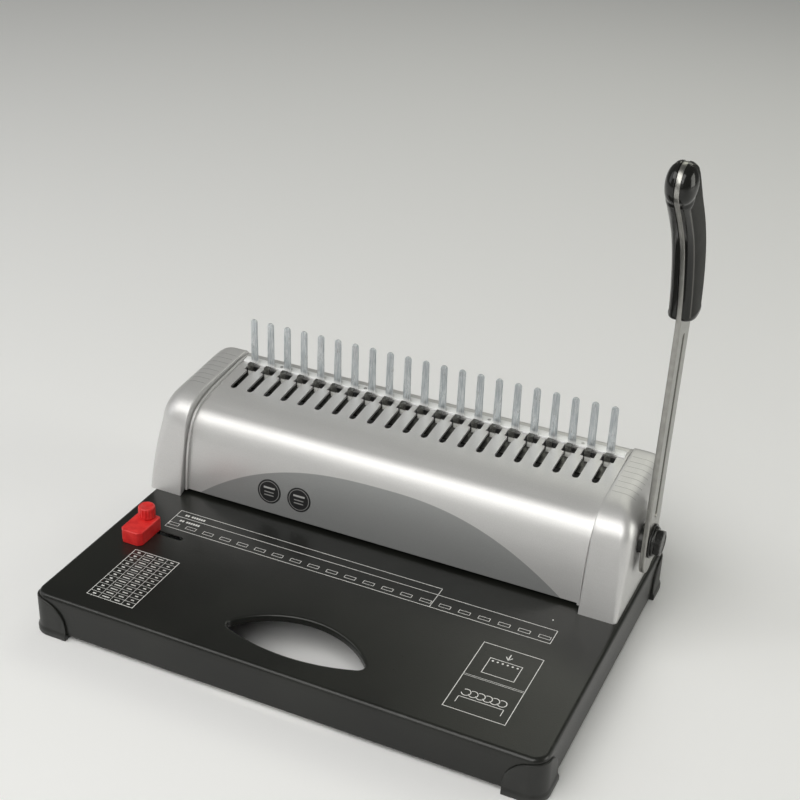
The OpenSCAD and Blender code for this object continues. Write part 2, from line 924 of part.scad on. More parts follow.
module tray_runner() {
    u = tray_w / 2 + slide;
    low = tray_foot - slide - runner_lip;
    front = tray_rear - tray_d;
    rear = tray_rear - fold_r - 1;
    block([u, front, low], [u + runner_w, rear, -die_t - slide]);
    block([u, die_front + die_d + slide, low], [u + runner_w, rear, -sheet_t]);
    block([u - runner_w, front, low], [u + runner_w, rear, low + runner_lip]);
}

module left_tray_runner() {
    color(steel)
        at_head()
            mirror([1, 0, 0])
                tray_runner();
}

module right_tray_runner() {
    color(steel)
        at_head()
            tray_runner();
}

module drive_shaft() {
    left = crank_u + crank_w + 3.6;
    color(steel)
        at_head()
            difference() {
                rod_x(-left, left + lever_out, shaft_r);
                rod_x(lever_out - bolt_hole, bolt_hole + past, bolt_shank_r + fit);
                cam_pin_rods(1.5 + fit);
            }
}

module cam_pin_rods(r) {
    for (i = [-1 : 1])
        rod_z(i * cam_step, shaft_d, shaft_h - cam_r + 2, shaft_h + cam_r - 2, r);
}

// Involute cam: the height under the shaft grows evenly with the angle, so the bar's fall does too
module cam(i) {
    reach = 2 * half_stroke + 5;
    rise = [for (k = [0 : 14]) let (a = reach * k / 14, r = cam_r + cam_lead * a * PI / 180)
        [-r * sin(a) - cam_lead * cos(a), -r * cos(a) + cam_lead * sin(a)]];
    back = arc([0, 0], cam_r, 90, -90, 20);
    color("#74777a")
        at_head()
            difference() {
                translate([0, shaft_d, shaft_h])
                    along_x(i * cam_step - cam_w / 2, cam_w)
                        polygon(concat(rise, back));
                rod_x(i * cam_step - cam_w, 2 * cam_w, shaft_r);
                cam_pin_rods(1.5 + fit);
            }
}

module left_cam() cam(-1);
module middle_cam() cam(0);
module right_cam() cam(1);

module cam_pins() {
    color(steel)
        at_head()
            cam_pin_rods(1.5);
}

// Crank on the shaft whose pin stands between the rake's prongs, drawn for the right side
module rake_crank_arm() {
    difference() {
        union() {
            rod_x(crank_u, crank_w, crank_hub_r);
            translate([crank_u, shaft_d, shaft_h])
                rotate([-half_stroke, 0, 0])
                    translate([0, -crank_pin_r - 0.8, 0])
                        cube([crank_w, 2 * crank_pin_r + 1.6, rake_crank]);
            rod_x(crank_u, crank_w, crank_pin_r + 1.5, pin_d, pin_h);
        }
        rod_x(crank_u - past, crank_w + 2 * past, shaft_r);
    }
    rod_x(prong_u + slide, crank_u - prong_u, crank_pin_r, pin_d, pin_h);
}

module left_rake_crank() {
    color("#74777a")
        at_head()
            mirror([1, 0, 0])
                rake_crank_arm();
}

module right_rake_crank() {
    color("#74777a")
        at_head()
            rake_crank_arm();
}

module shaft_collar() {
    color(steel)
        at_head()
            difference() {
                rod_x(-crank_u - crank_w - 3.2, 3, 9);
                rod_x(-crank_u - crank_w - 3.2 - past, 3 + 2 * past, shaft_r);
            }
}

module lever_sleeve() {
    start = crank_u + crank_w + 0.2;
    color(steel)
        at_head()
            difference() {
                rod_x(start, lever_u - start, crank_hub_r);
                rod_x(start - past, lever_u - start + 2 * past, shaft_r);
            }
}

// The lever's middle line: straight, a forward bend and a short straight; s is measured from the shaft
bend_len = bend_r * bend_turn * PI / 180;

function heading(s) = lever_lean - bend_turn * min(1, max(0, (s - lever_straight) / bend_len));

function ahead(a) = [sin(a), cos(a)];

function aside(a) = [cos(a), -sin(a)];

function middle(s) = let (a = heading(s))
    ahead(lever_lean) * min(s, lever_straight) + bend_r * (aside(a) - aside(lever_lean))
        + ahead(a) * max(0, s - lever_straight - bend_len);

// Half width of the grip: foot, belly, neck and knob joined by smooth steps
belly_at = grip_start + 0.28 * (lever_len - grip_start);
neck_at = grip_start + 0.78 * (lever_len - grip_start);

function grip_half(s) = grip_foot_w
    + (grip_belly_w - grip_foot_w) * smooth((s - grip_start) / (belly_at - grip_start))
    + (grip_neck_w - grip_belly_w) * smooth((s - belly_at) / (neck_at - belly_at))
    + (grip_knob_w - grip_neck_w) * smooth((s - neck_at) / (lever_len - neck_at));

lever_side = concat(
    [for (s = [0, grip_start / 2, grip_start - 8]) [s, lever_w / 2]],
    [for (i = [0 : 16]) let (s = grip_start + (lever_len - grip_start) * i / 16)
        [s, grip_half(s) - 0.4]]);

function edge(way) = [for (p = lever_side) middle(p[0]) + way * p[1] * aside(heading(p[0]))];

function backwards(list) = [for (i = [len(list) - 1 : -1 : 0]) list[i]];

// One closed outline: up the front, round the knob, down the rear and round the tail
module lever_outline() {
    tip = 90 - heading(lever_len);
    foot = -90 - lever_lean;
    knob = arc(middle(lever_len), grip_knob_w - 0.4, tip + 80, tip - 80, 10);
    tail = arc((lever_w / 2 - lever_tail) * ahead(lever_lean), lever_w / 2, foot + 90, foot - 90, 12);
    polygon(concat(edge(-1), knob, backwards(edge(1)), tail));
}

module lever_bar() {
    color("#a4a7aa")
        at_head()
            difference() {
                translate([0, shaft_d, shaft_h])
                    along_x(lever_u, lever_t)
                        lever_outline();
                rod_x(lever_u - past, lever_t + 2 * past, shaft_r);
                grip_screw_rods(lever_u - past, lever_out + past, grip_screw_r + fit);
            }
}

module grip_screw_rods(low, high, r) {
    for (s = grip_screws_at) {
        p = middle(s);
        rod_x(low, high - low, r, shaft_d + p[0], shaft_h + p[1]);
    }
}

// Half of the grip: a rounded section carried along the lever's middle line, drawn outwards
module grip_half_shell() {
    power = 2.6;
    full = lever_len + grip_knob_w;
    stations = concat(
        [for (i = [0 : 3]) [grip_start + 4 * (1 - cos(30 * i)), sin(10 + 26.6 * i)]],
        [for (i = [1 : 15]) [grip_start + 4 + (lever_len - grip_start - 4) * i / 15, 1]],
        [for (i = [1 : 5]) [lever_len + grip_knob_w * sin(16.4 * i), cos(16.4 * i)]]);
    rings = [for (q = stations) let (s = min(q[0], full), a = heading(s), m = middle(s),
        w = grip_half(min(s, lever_len)) * q[1], deep = grip_t * sqrt(q[1]))
        [for (k = [0 : 12]) let (c = cos(180 - 15 * k), n = abs(c) * sign(c),
            t = deep * pow(1 - pow(abs(c), power), 1 / power), p = m + n * w * aside(a))
            [t, p[0], p[1]]]];
    loft(backwards(rings));
}

module inner_grip() {
    color(black)
        at_head()
            difference() {
                translate([lever_u, shaft_d, shaft_h])
                    mirror([1, 0, 0])
                        grip_half_shell();
                grip_screw_rods(lever_u - 5, lever_u + past, grip_screw_r + fit);
            }
}

module outer_grip() {
    color(black)
        at_head()
            difference() {
                translate([lever_out, shaft_d, shaft_h])
                    grip_half_shell();
                grip_screw_rods(lever_out - past, lever_out + grip_t, grip_screw_r + fit);
                grip_screw_rods(lever_out + grip_t - 3.2, lever_out + grip_t + past, 3.6 + fit);
            }
}

module grip_screws() {
    color(steel)
        at_head() {
            grip_screw_rods(lever_u - 5, lever_out + grip_t - 3.2, grip_screw_r);
            grip_screw_rods(lever_out + grip_t - 3.2, lever_out + grip_t - 1.2, 3.6);
        }
}

module lever_washer() {
    color("#c4c6c8")
        at_head()
            difference() {
                rod_x(lever_out, washer_t, bolt_r + 1.5);
                rod_x(lever_out - past, washer_t + 2 * past, bolt_shank_r + fit);
            }
}

module lever_bolt() {
    seat = lever_out + washer_t;
    color("#202224")
        at_head() {
            rod_x(seat, bolt_head * 0.3, bolt_r);
            translate([seat, shaft_d, shaft_h])
                rotate([0, 90, 0])
                    cylinder(r = bolt_r - 1, h = bolt_head, $fn = 6);
            rod_x(lever_out - bolt_hole + 2, bolt_hole - 2 + washer_t, bolt_shank_r);
        }
}

module punch_bar() {
    color("#84878a")
        at_head()
            difference() {
                block([-bar_half, bar_front, bar_h], [bar_half, bar_front + bar_d, bar_top]);
                punch_holes(bar_h - past, bar_h + pocket, fit);
                both_sides() {
                    rod_z(post_u, shaft_d, bar_h - past, bar_top + past, post_r + run_fit);
                    rod_z(post_u, shaft_d, bar_h - past, bar_h + spring_pocket, spring_bore);
                }
            }
}

module punches() {
    color("#c7c9cb")
        at_head()
            punch_holes(punch_foot, bar_h + pocket, 0);
}

// Return springs round the guide posts, each one unbroken tube
module return_springs() {
    per_turn = 8;
    sides = 6;
    count = turns * per_turn;
    low = guide_top + wire / 2;
    rise = spring_len - wire;
    rings = [for (i = [0 : count]) let (a = 360 * i / per_turn, h = low + rise * i / count)
        [for (k = [0 : sides - 1]) let (b = 360 * k / sides, r = spring_r + wire / 2 * cos(b))
            [r * cos(a), r * sin(a), h + wire / 2 * sin(b)]]];
    echo(least_gap_in_return_spring = norm(rings[per_turn][0] - rings[0][0]) - wire);
    color(steel)
        at_head()
            for (side = [-1, 1])
                translate([side * post_u, shaft_d, 0])
                    loft(backwards(rings));
}

module rake() {
    end = prong_u;
    color(zinc)
        at_head() {
            on_slope()
                difference() {
                    union() {
                        block([-end, rake_front, -rake_low], [end, rake_rear, -rake_drop]);
                        both_sides()
                            block([cover_half + cap_inner_wall + slide,
                                (ear_front - flat_d) / cos(slope), -rake_low],
                                [end, rake_rear, -rake_drop]);
                    }
                    both_sides()
                        rake_slot();
                }
            for (i = [0 : slots - 1])
                translate([(i - (slots - 1) / 2) * pitch, 0, 0])
                    on_slope()
                        hook();
            both_sides()
                for (way = [-1, 1])
                    prong(way);
        }
}

module rake_slot() {
    w = stud_r + 0.25;
    block([stud_u - w, stud_places[0] - w, -rake_low - past],
        [stud_u + w, stud_places[1] + rake_travel + w, past - rake_drop]);
}

module hook() {
    start = head_start + 0.5;
    block([-hook_w / 2, start, -rake_low], [hook_w / 2, start + rake_t, hook_h]);
    block([-hook_w / 2, start, hook_h - rake_t], [hook_w / 2, start + hook_reach, hook_h]);
}

module prong(way) {
    centre = pin_d + way * (crank_pin_r + prong_clear + prong_t / 2);
    block([prong_u - prong_root, centre - prong_t / 2, prong_foot],
        [prong_u + prong_w, centre + prong_t / 2, prong_top]);
}

// Sliding stop that lines up the paper's left edge
module edge_stop() {
    front = stop_y + stop_rear - stop_d;
    chamfer = 3;
    color(red)
        at_base()
            translate([-stop_x, 0, plate_z])
                difference() {
                    linear_extrude(stop_h)
                        polygon([[-stop_w / 2, front + chamfer], [chamfer - stop_w / 2, front],
                            [stop_w / 2 - chamfer, front], [stop_w / 2, front + chamfer],
                            [stop_w / 2, stop_y + stop_rear], [-stop_w / 2, stop_y + stop_rear]]);
                    rod_z(0, stop_y, -past, stop_h + past, stop_screw_r + run_fit);
                }
}

module stop_nut() {
    color(steel)
        at_base()
            translate([-stop_x, stop_y, plate_z - sheet_t - slide])
                difference() {
                    block([-7, -5, -3], [7, 5, 0]);
                    rod_z(0, 0, -3 - past, past, stop_screw_r + run_fit);
                }
}

module stop_knob() {
    flutes = 16;
    color(red)
        at_base()
            translate([-stop_x, stop_y, plate_z + stop_h])
                difference() {
                    cylinder(r = knob_r, h = knob_h);
                    rod_z(0, 0, -past, knob_h - 2, stop_screw_r);
                    for (i = [0 : flutes - 1])
                        rotate(360 * i / flutes)
                            rod_z(knob_r + 0.35, 0, -past, knob_h - 1.5, 0.8);
                }
}

module stop_screw() {
    color(steel)
        at_base()
            rod_z(-stop_x, stop_y, plate_z - sheet_t - 7, plate_z + stop_h + knob_h - 2, stop_screw_r);
}

module chip_tray() {
    low = [-tray_w / 2, tray_rear - tray_d, tray_foot];
    high = [tray_w / 2, tray_rear, tray_top];
    rim = [tray_t, tray_t, tray_t];
    color("#26282a")
        at_head()
            difference() {
                block(low, high);
                block(low + rim, [high[0] - tray_t, high[1] - tray_t, high[2] + past]);
                translate([0, high[1] - tray_t - past, high[2]])
                    rotate([-90, 0, 0])
                        cylinder(r = 9, h = tray_t + 2 * past);
            }
}

base_tray();
foot_front_left();
foot_front_right();
foot_rear_left();
foot_rear_right();
left_end_cap();
right_end_cap();
top_cover();
comb_plate();
comb_rivets();
cover_rail();
rail_screws();
cover_screws();
cap_screws();
left_side_frame();
right_side_frame();
frame_screws();
die_plate();
throat_spacer();
guide_plate();
die_screws();
block_screws();
guide_posts();
left_bush();
right_bush();
rake_studs();
left_tray_runner();
right_tray_runner();
drive_shaft();
left_cam();
middle_cam();
right_cam();
cam_pins();
left_rake_crank();
right_rake_crank();
shaft_collar();
lever_sleeve();
lever_bar();
lever_washer();
lever_bolt();
inner_grip();
outer_grip();
grip_screws();
punch_bar();
punches();
return_springs();
rake();
edge_stop();
stop_nut();
stop_knob();
stop_screw();
chip_tray();
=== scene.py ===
import json
import math

import bmesh
import bpy
import numpy as np
from mathutils import Matrix, Vector
from mathutils.geometry import delaunay_2d_cdt


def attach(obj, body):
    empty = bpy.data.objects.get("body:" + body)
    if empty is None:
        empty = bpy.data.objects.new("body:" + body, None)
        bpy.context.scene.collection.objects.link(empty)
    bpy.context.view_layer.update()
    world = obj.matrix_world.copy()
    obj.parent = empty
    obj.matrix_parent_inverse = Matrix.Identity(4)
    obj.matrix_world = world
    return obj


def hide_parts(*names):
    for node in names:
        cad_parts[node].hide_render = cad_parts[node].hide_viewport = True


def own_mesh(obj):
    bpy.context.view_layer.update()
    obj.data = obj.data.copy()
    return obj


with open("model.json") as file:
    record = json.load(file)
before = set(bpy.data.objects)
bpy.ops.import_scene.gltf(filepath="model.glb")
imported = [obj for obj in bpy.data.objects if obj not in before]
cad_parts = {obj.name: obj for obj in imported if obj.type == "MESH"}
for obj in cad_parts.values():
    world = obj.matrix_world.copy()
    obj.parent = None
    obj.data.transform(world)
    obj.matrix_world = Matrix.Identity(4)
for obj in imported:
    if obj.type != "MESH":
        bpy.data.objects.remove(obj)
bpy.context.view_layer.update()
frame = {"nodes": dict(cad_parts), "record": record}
nodes = frame["nodes"]
mm = 0.001
weldGap = 2e-6  # points closer than this, in metres, are joined
print("frame loaded:", len(nodes), "solids")

# camera at the photograph's angle; places in millimetres
photoView = {
    "place": (354.15, -752.55, 623.3),
    "azimuth": 23.86,
    "elevation": 28.73,
    "roll": 2.25,
    "lens": 65.38,
    "sensor": 36,
    "reach": 100,
}


def addObject(name, data):
    made = bpy.data.objects.new(name, data)
    bpy.context.scene.collection.objects.link(made)
    return made


def placeCamera(v):
    a, e, r = (math.radians(v[k]) for k in ("azimuth", "elevation", "roll"))
    back = Vector((math.sin(a) * math.cos(e), -math.cos(a) * math.cos(e), math.sin(e)))
    right = Vector((math.cos(a), math.sin(a), 0))
    up = back.cross(right)
    across, over = math.cos(r) * right + math.sin(r) * up, math.cos(r) * up - math.sin(r) * right
    data = bpy.data.cameras.new("photoCamera")
    data.lens, data.sensor_width, data.clip_end = (v[k] for k in ("lens", "sensor", "reach"))
    camera = addObject("photoCamera", data)
    turn = Matrix((across, over, back)).transposed().to_4x4()
    camera.matrix_world = Matrix.Translation(Vector(v["place"]) * mm) @ turn
    bpy.context.scene.camera = camera


placeCamera(photoView)


# shader maths: a Wire is a socket, and arithmetic on it adds Math nodes
class Wire:
    def __init__(self, finish, socket):
        self.finish, self.socket = finish, socket

    def maths(self, operation, a, b=0.0):
        return self.finish.node("Math", {"operation": operation}, {0: a, 1: b})

    def __add__(self, other): return self.maths("ADD", self, other)
    def __radd__(self, other): return self.maths("ADD", other, self)
    def __sub__(self, other): return self.maths("SUBTRACT", self, other)
    def __rsub__(self, other): return self.maths("SUBTRACT", other, self)
    def __mul__(self, other): return self.maths("MULTIPLY", self, other)
    def __rmul__(self, other): return self.maths("MULTIPLY", other, self)
    def __truediv__(self, other): return self.maths("DIVIDE", self, other)
    def __pow__(self, other): return self.maths("POWER", self, other)
    def __abs__(self): return self.maths("ABSOLUTE", self)

    def atLeast(self, low): return self.maths("MAXIMUM", self, low)
    def atMost(self, high): return self.maths("MINIMUM", self, high)

    def rise(self, low, high):  # smooth step from 0 at low to 1 at high
        return self.finish.node("MapRange", {"interpolation_type": "SMOOTHSTEP"},
                                {"Value": self, "From Min": low, "From Max": high})

    def blend(self, first, second):  # colour mix by this value
        return self.finish.node("Mix", {"data_type": "RGBA"}, {0: self, 6: first, 7: second}, 2)


class Finish:
    def __init__(self, name, metallic=0.0, **fixed):
        self.material = bpy.data.materials.new(name)
        self.material.use_nodes = True
        self.tree = self.material.node_tree
        self.shader = self.tree.nodes["Principled BSDF"]
        self.set(metallic=metallic, **fixed)

    def feed(self, socket, value):
        if isinstance(value, Wire):
            self.tree.links.new(value.socket, socket)
        elif isinstance(value, tuple) and socket.type == "RGBA":
            socket.default_value = (*value, 1)
        else:
            socket.default_value = value

    def node(self, kind, settings=None, sockets=None, out=0):
        made = self.tree.nodes.new("ShaderNode" + kind)
        for key, value in (settings or {}).items():
            setattr(made, key, value)
        for key, value in (sockets or {}).items():
            self.feed(made.inputs[key], value)
        return Wire(self, made.outputs[out])

    def set(self, **values):  # camelCase names of the shader's sockets
        for key, value in values.items():
            words = "".join(" " + c if c.isupper() else c for c in key).title()
            self.feed(self.shader.inputs[words], value)

    def spot(self, stretch=(1, 1, 1)):  # place on the machine in millimetres
        at = self.node("TexCoord", out=3)
        return self.node("VectorMath", {"operation": "MULTIPLY"},
                         {0: at, 1: tuple(s / mm for s in stretch)})

    def axes(self, at):
        parts = self.node("SeparateXYZ", {}, {0: at})
        return [Wire(self, parts.socket.node.outputs[i]) for i in range(3)]

    def noise(self, at, scale, detail=3.0, rough=0.55):
        return self.node("TexNoise", {}, {"Vector": at, "Scale": scale, "Detail": detail,
                                          "Roughness": rough})

    def cells(self, at, scale):
        return self.node("TexVoronoi", {}, {"Vector": at, "Scale": scale})

    def mark(self, name):  # a number kept on the mesh's points
        return self.node("Attribute", {"attribute_name": name}, {}, 2)

    def bump(self, height, depth):  # depth in millimetres
        self.set(normal=self.node("Bump", {}, {"Strength": 1.0, "Distance": depth * mm, "Height": height}))


# meshes: grids and flat fills gathered into one piece, in millimetres
class Shell:
    def __init__(self):
        self.points, self.faces, self.marks, self.count = [], [], {}, 0

    def put(self, points, faces, **marks):
        points = np.asarray(points, float).reshape(-1, 3)
        self.points.append(points)
        self.faces.extend([[v + self.count for v in f] for f in faces])
        for key, value in marks.items():
            self.marks.setdefault(key, []).append((self.count, np.ravel(value)))
        self.count += len(points)

    def grid(self, points, roundCols=False, flip=False, **marks):
        rows, cols = points.shape[:2]  # quads between neighbouring rows and columns
        i = np.arange(rows - 1)[:, None]
        j = np.arange(cols if roundCols else cols - 1)[None, :]
        k, m = i + 1, (j + 1) % cols
        quads = np.stack([i * cols + j, i * cols + m, k * cols + m, k * cols + j], -1).reshape(-1, 4)
        self.put(points, (quads[:, ::-1] if flip else quads).tolist(), **marks)

    def fill(self, outline, holes, lay):  # flat plate with holes
        loops = [np.asarray(p, float) for p in (outline, *holes)]
        starts = np.cumsum([0] + [len(p) for p in loops])
        rims = [list(range(s, s + len(p))) for s, p in zip(starts.tolist(), loops)]
        found = delaunay_2d_cdt([Vector(p) for p in np.concatenate(loops)], [], rims, 1, 1e-7)
        flat = np.array([tuple(v) for v in found[0]])
        solid = [f for f, within in zip(found[2], found[5]) if list(within) == [0]]
        self.put(lay(flat[:, 0], flat[:, 1]), solid)

    def plate(self, outline, holes, lay, rim=0.5):  # flat fill with a narrow flat ring along each edge
        inner, wider = grow(outline, -rim), [grow(h, rim) for h in holes]
        self.fill(inner, wider, lay)
        for pair in ((inner, outline), *zip(holes, wider)):
            both = np.stack(pair)
            self.grid(lay(both[..., 0], both[..., 1]), roundCols=True, flip=True)

    def tube(self, rings, **marks):  # closed rings carried along a path, both ends shut
        rows, n = rings.shape[:2]
        self.grid(rings, roundCols=True, **marks)
        first, last = self.count - rows * n, self.count - n
        self.faces += [list(range(first, first + n))[::-1], list(range(last, last + n))]

    def mesh(self, name):
        data = bpy.data.meshes.new(name)
        data.from_pydata((np.concatenate(self.points) * mm).tolist(), [], self.faces)
        return data

    def piece(self, name, body, slot, stands=(), finish=None, wall=0.0, edge=0.0, sharp=38, closed=True):
        data = self.mesh(name)
        for key, parts in self.marks.items():
            values = np.zeros(self.count, np.float32)
            for start, part in parts:
                values[start:start + len(part)] = part
            data.attributes.new(key, "FLOAT", "POINT").data.foreach_set("value", values)
        work = bmesh.new()
        work.from_mesh(data)
        bmesh.ops.remove_doubles(work, verts=work.verts, dist=weldGap)
        if closed:
            bmesh.ops.recalc_face_normals(work, faces=work.faces)
        work.to_mesh(data)
        work.free()
        data.shade_smooth()
        data.set_sharp_from_angle(angle=math.radians(sharp))
        made = addObject(name, data)
        data.materials.append((finish or finishes[slot]).material)
        if wall:
            thick = made.modifiers.new("wall", "SOLIDIFY")
            thick.thickness, thick.offset, thick.use_even_offset = wall * mm, -1, True
        if edge:
            roundEdges(made, edge)
        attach(made, body)
        if stands:
            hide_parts(*stands)
        return made


def roundEdges(made, width, angle=42):
    rounding = made.modifiers.new("edges", "BEVEL")
    rounding.width, rounding.segments = width * mm, 2
    rounding.limit_method, rounding.angle_limit = "ANGLE", math.radians(angle)
    rounding.harden_normals, rounding.use_clamp_overlap = True, True


def smooth(x):
    t = np.clip(x, 0, 1)
    return t * t * (3 - 2 * t)


def quarter(n):  # n angles from 0 to 90 degrees
    return np.radians(np.linspace(0, 90, n))


def fullTurn(n):  # n angles round a circle
    return np.linspace(0, 2 * np.pi, n, endpoint=False)


def unit(v):  # rows scaled to length 1
    return v / np.linalg.norm(v, axis=-1, keepdims=True)


def leftOf(v):  # rows turned a quarter to the left
    return np.stack([-v[:, 1], v[:, 0]], 1)


def along(line):  # length run along a line of points
    return np.concatenate([[0], np.cumsum(np.linalg.norm(np.diff(line, axis=0), axis=1))])


def bezier(a, b, c, e, n):
    t = np.linspace(0, 1, n + 1)[:, None]
    a, b, c, e = (np.array(p, float) for p in (a, b, c, e))
    return (1 - t) ** 3 * a + 3 * (1 - t) ** 2 * t * b + 3 * (1 - t) * t ** 2 * c + t ** 3 * e


def arc(centre, r, start, end, n):
    t = np.radians(np.linspace(start, end, n + 1))
    return np.array(centre, float) + r * np.stack([np.cos(t), np.sin(t)], 1)


def onward(a, b, n):  # straight run of n points that ends at b
    return np.linspace(a, b, n + 1)[1:]


def outward(line):  # unit normals to the left of an open line that starts and ends upright
    side = unit(leftOf(np.gradient(line, axis=0)))
    side[0], side[-1] = (-1, 0), (1, 0)
    return side


def grow(loop, by, sharpest=0.35):  # mitred offset of a closed loop that turns anticlockwise
    after = -leftOf(unit(np.roll(loop, -1, 0) - loop))
    before = np.roll(after, 1, 0)
    share = 1 + np.sum(after * before, 1, keepdims=True)
    return loop + by * (after + before) / np.maximum(share, sharpest)


def roundedLoop(corners, radius, n=6):  # closed loop whose corners are arcs
    corners = np.asarray(corners, float)
    back, ahead = (unit(np.roll(corners, step, 0) - corners) for step in (1, -1))
    half = np.arccos(np.clip(np.sum(back * ahead, 1), -1, 1)) / 2
    centre = corners + unit(back + ahead) * (radius / np.sin(half))[:, None]
    first, last = (corners + way * (radius / np.tan(half))[:, None] - centre for way in (back, ahead))
    t = np.linspace(0, 1, n + 1)[None, :, None]
    swing = (np.pi - 2 * half)[:, None, None]
    turn = (np.sin((1 - t) * swing) * first[:, None] + np.sin(t * swing) * last[:, None]) / np.sin(swing)
    return (centre[:, None] + turn).reshape(-1, 2)


def oblong(x0, y0, x1, y1):
    return np.array([(x0, y0), (x1, y0), (x1, y1), (x0, y1)], float)


def ring(x, y, r, n=40):
    return arc((x, y), r, 0, 360 - 360 / n, n - 1)


# the head's frame: u along the machine, d behind the cap fronts, h over the base plate
place = {"headX": -7.65, "headY": 20.0, "plate": 32.0, "baseX": -3.9}


def headPoint(u, d, h):
    return np.stack(np.broadcast_arrays(u + place["headX"], d + place["headY"], h + place["plate"]), -1)


def basePoint(x, y, z):
    return np.stack(np.broadcast_arrays(x + place["baseX"], y, z), -1)


def headPath(u, path):
    return headPoint(u, path[..., 0], path[..., 1])


def basePath(path, z):
    return basePoint(path[..., 0], path[..., 1], z)


def steps(x, y, moves):  # points of a profile, as moves from one place
    return [(x + a, y + b) for a, b in moves]


pinhole = 0.05  # turned profiles end this far from their axis


def turnedRings(profile, n, axis, at, shape):
    # a profile of (radius, height) turned about an axis; shape(angle, radius, height) bends the radius
    t = fullTurn(n)[None, :]
    r, z = (np.asarray(profile, float)[:, k][:, None] for k in (0, 1))
    r = shape(t, r, z)
    a, b, c = r * np.cos(t), r * np.sin(t), z * np.ones_like(t)
    order = {"x": (c, a, b), "z": (a, b, c)}[axis]
    return np.stack(order, -1) + np.asarray(at, float)


def scaled(colour, by):
    return tuple(c * by for c in colour)


# finishes; a pattern has a scale on millimetres, a detail and a roughness, an edge is where it rises to 1
coatLook = {"dark": (0.0075, 0.0080, 0.0066), "light": (0.0125, 0.0132, 0.0108),
            "bare": (0.16, 0.165, 0.16), "cloud": (0.012, 2.0), "cloudEdge": (0.35, 0.7),
            "peel": (1.1, 2.0, 0.4), "speck": (2.6, 1.0), "speckEdge": (0.70, 0.78), "chip": (0.12, 5.0),
            "chipEdge": (0.52, 0.8), "wornFrom": (30.4, 31.4), "wornTo": (31.7, 31.98),
            "speckShare": 0.12, "wornShare": 0.16, "rough": 0.24, "peelRough": 0.16, "wornSmooth": 0.04,
            "gloss": 0.46, "speckBump": 0.3, "depth": 0.035}


def powderCoat(k):
    f = Finish("powderCoat")
    f.shader.inputs["Specular IOR Level"].default_value = k["gloss"]
    at = f.spot()
    z = f.axes(at)[2]
    cloud, peel = f.noise(at, *k["cloud"]), f.noise(at, *k["peel"])
    specks = f.noise(at, *k["speck"]).rise(*k["speckEdge"])
    fold = z.rise(*k["wornFrom"]) * (1 - z.rise(*k["wornTo"]))  # paint wears along the fold
    worn = fold * f.noise(at, *k["chip"]).rise(*k["chipEdge"])
    colour = cloud.rise(*k["cloudEdge"]).blend(k["dark"], k["light"])
    colour = (specks * k["speckShare"] + worn * k["wornShare"]).blend(colour, k["bare"])
    f.set(baseColor=colour, roughness=k["rough"] + k["peelRough"] * peel - k["wornSmooth"] * worn)
    f.bump(peel + specks * k["speckBump"], k["depth"])
    return f


plasticLook = {"pebble": 1.4, "cloud": (0.05, 3.0), "cloudEdge": (0.3, 0.75), "lighter": 1.35,
               "haze": 0.004, "cloudRough": 0.14, "fine": 3.5, "fineBump": 0.4, "depth": 0.03}


def mouldedPlastic(name, colour, rough):
    k = plasticLook
    f = Finish(name)
    at = f.spot()
    pebble, cloud = f.cells(at, k["pebble"]), f.noise(at, *k["cloud"])
    lighter = tuple(c * k["lighter"] + k["haze"] for c in colour)
    f.set(baseColor=cloud.rise(*k["cloudEdge"]).blend(colour, lighter),
          roughness=rough + k["cloudRough"] * (cloud - 0.5))
    f.bump(pebble + k["fineBump"] * f.noise(at, k["fine"]), k["depth"])
    return f


silverLook = {"base": (0.62, 0.615, 0.61), "flake": (0.74, 0.735, 0.73), "metal": 0.55, "flakes": 2.6,
              "flakeEdge": (0.1, 0.8), "cloud": (0.02, 3.0), "wipe": (0.02, 0.5, 0.5), "rub": (1.0, 3.0),
              "flakeShare": 0.55, "rubShare": 0.25, "rough": 0.40, "cloudRough": 0.07, "rubRough": 0.06,
              "flakeBump": 0.6, "dimple": (0.9, 2.0), "depth": 0.02}
archLook = {"middle": -0.5, "foot": 32.0, "height": 45.35, "left": 154.0, "right": 138.15, "leftBend": 2.8,
            "rightBend": 2.39, "base": (0.33, 0.335, 0.335), "flake": 1.12, "rear": 60.0, "edge": 0.25,
            "rough": 0.08}


def silverPaint(name, arch=False):
    k = silverLook
    f = Finish(name, metallic=k["metal"])
    at = f.spot()
    flake = f.cells(at, k["flakes"]).rise(*k["flakeEdge"])
    cloud = f.noise(at, *k["cloud"])
    rub = f.noise(f.spot(k["wipe"]), *k["rub"])  # faint wiping marks along the head
    colour = (flake * k["flakeShare"] + rub * k["rubShare"]).blend(k["base"], k["flake"])
    rough = k["rough"] + k["cloudRough"] * (cloud - 0.5) + k["rubRough"] * (rub - 0.5)
    f.bump(flake * k["flakeBump"] + f.noise(at, *k["dimple"]), k["depth"])
    if arch:  # darker field under an arched line on the cover's front
        k = archLook
        x, y, z = f.axes(at)
        off = x - k["middle"]
        line = k["height"] * (1 - ((0 - off).atLeast(0) / k["left"]) ** k["leftBend"]
                              - (off.atLeast(0) / k["right"]) ** k["rightBend"])
        below = (line - (z - k["foot"])).rise(-k["edge"], k["edge"])
        field = below * (1 - y.rise(k["rear"], k["rear"] + 2 * k["edge"]))
        colour = field.blend(colour, flake.blend(k["base"], scaled(k["base"], k["flake"])))
        rough = rough + k["rough"] * field
    f.set(baseColor=colour, roughness=rough)
    return f


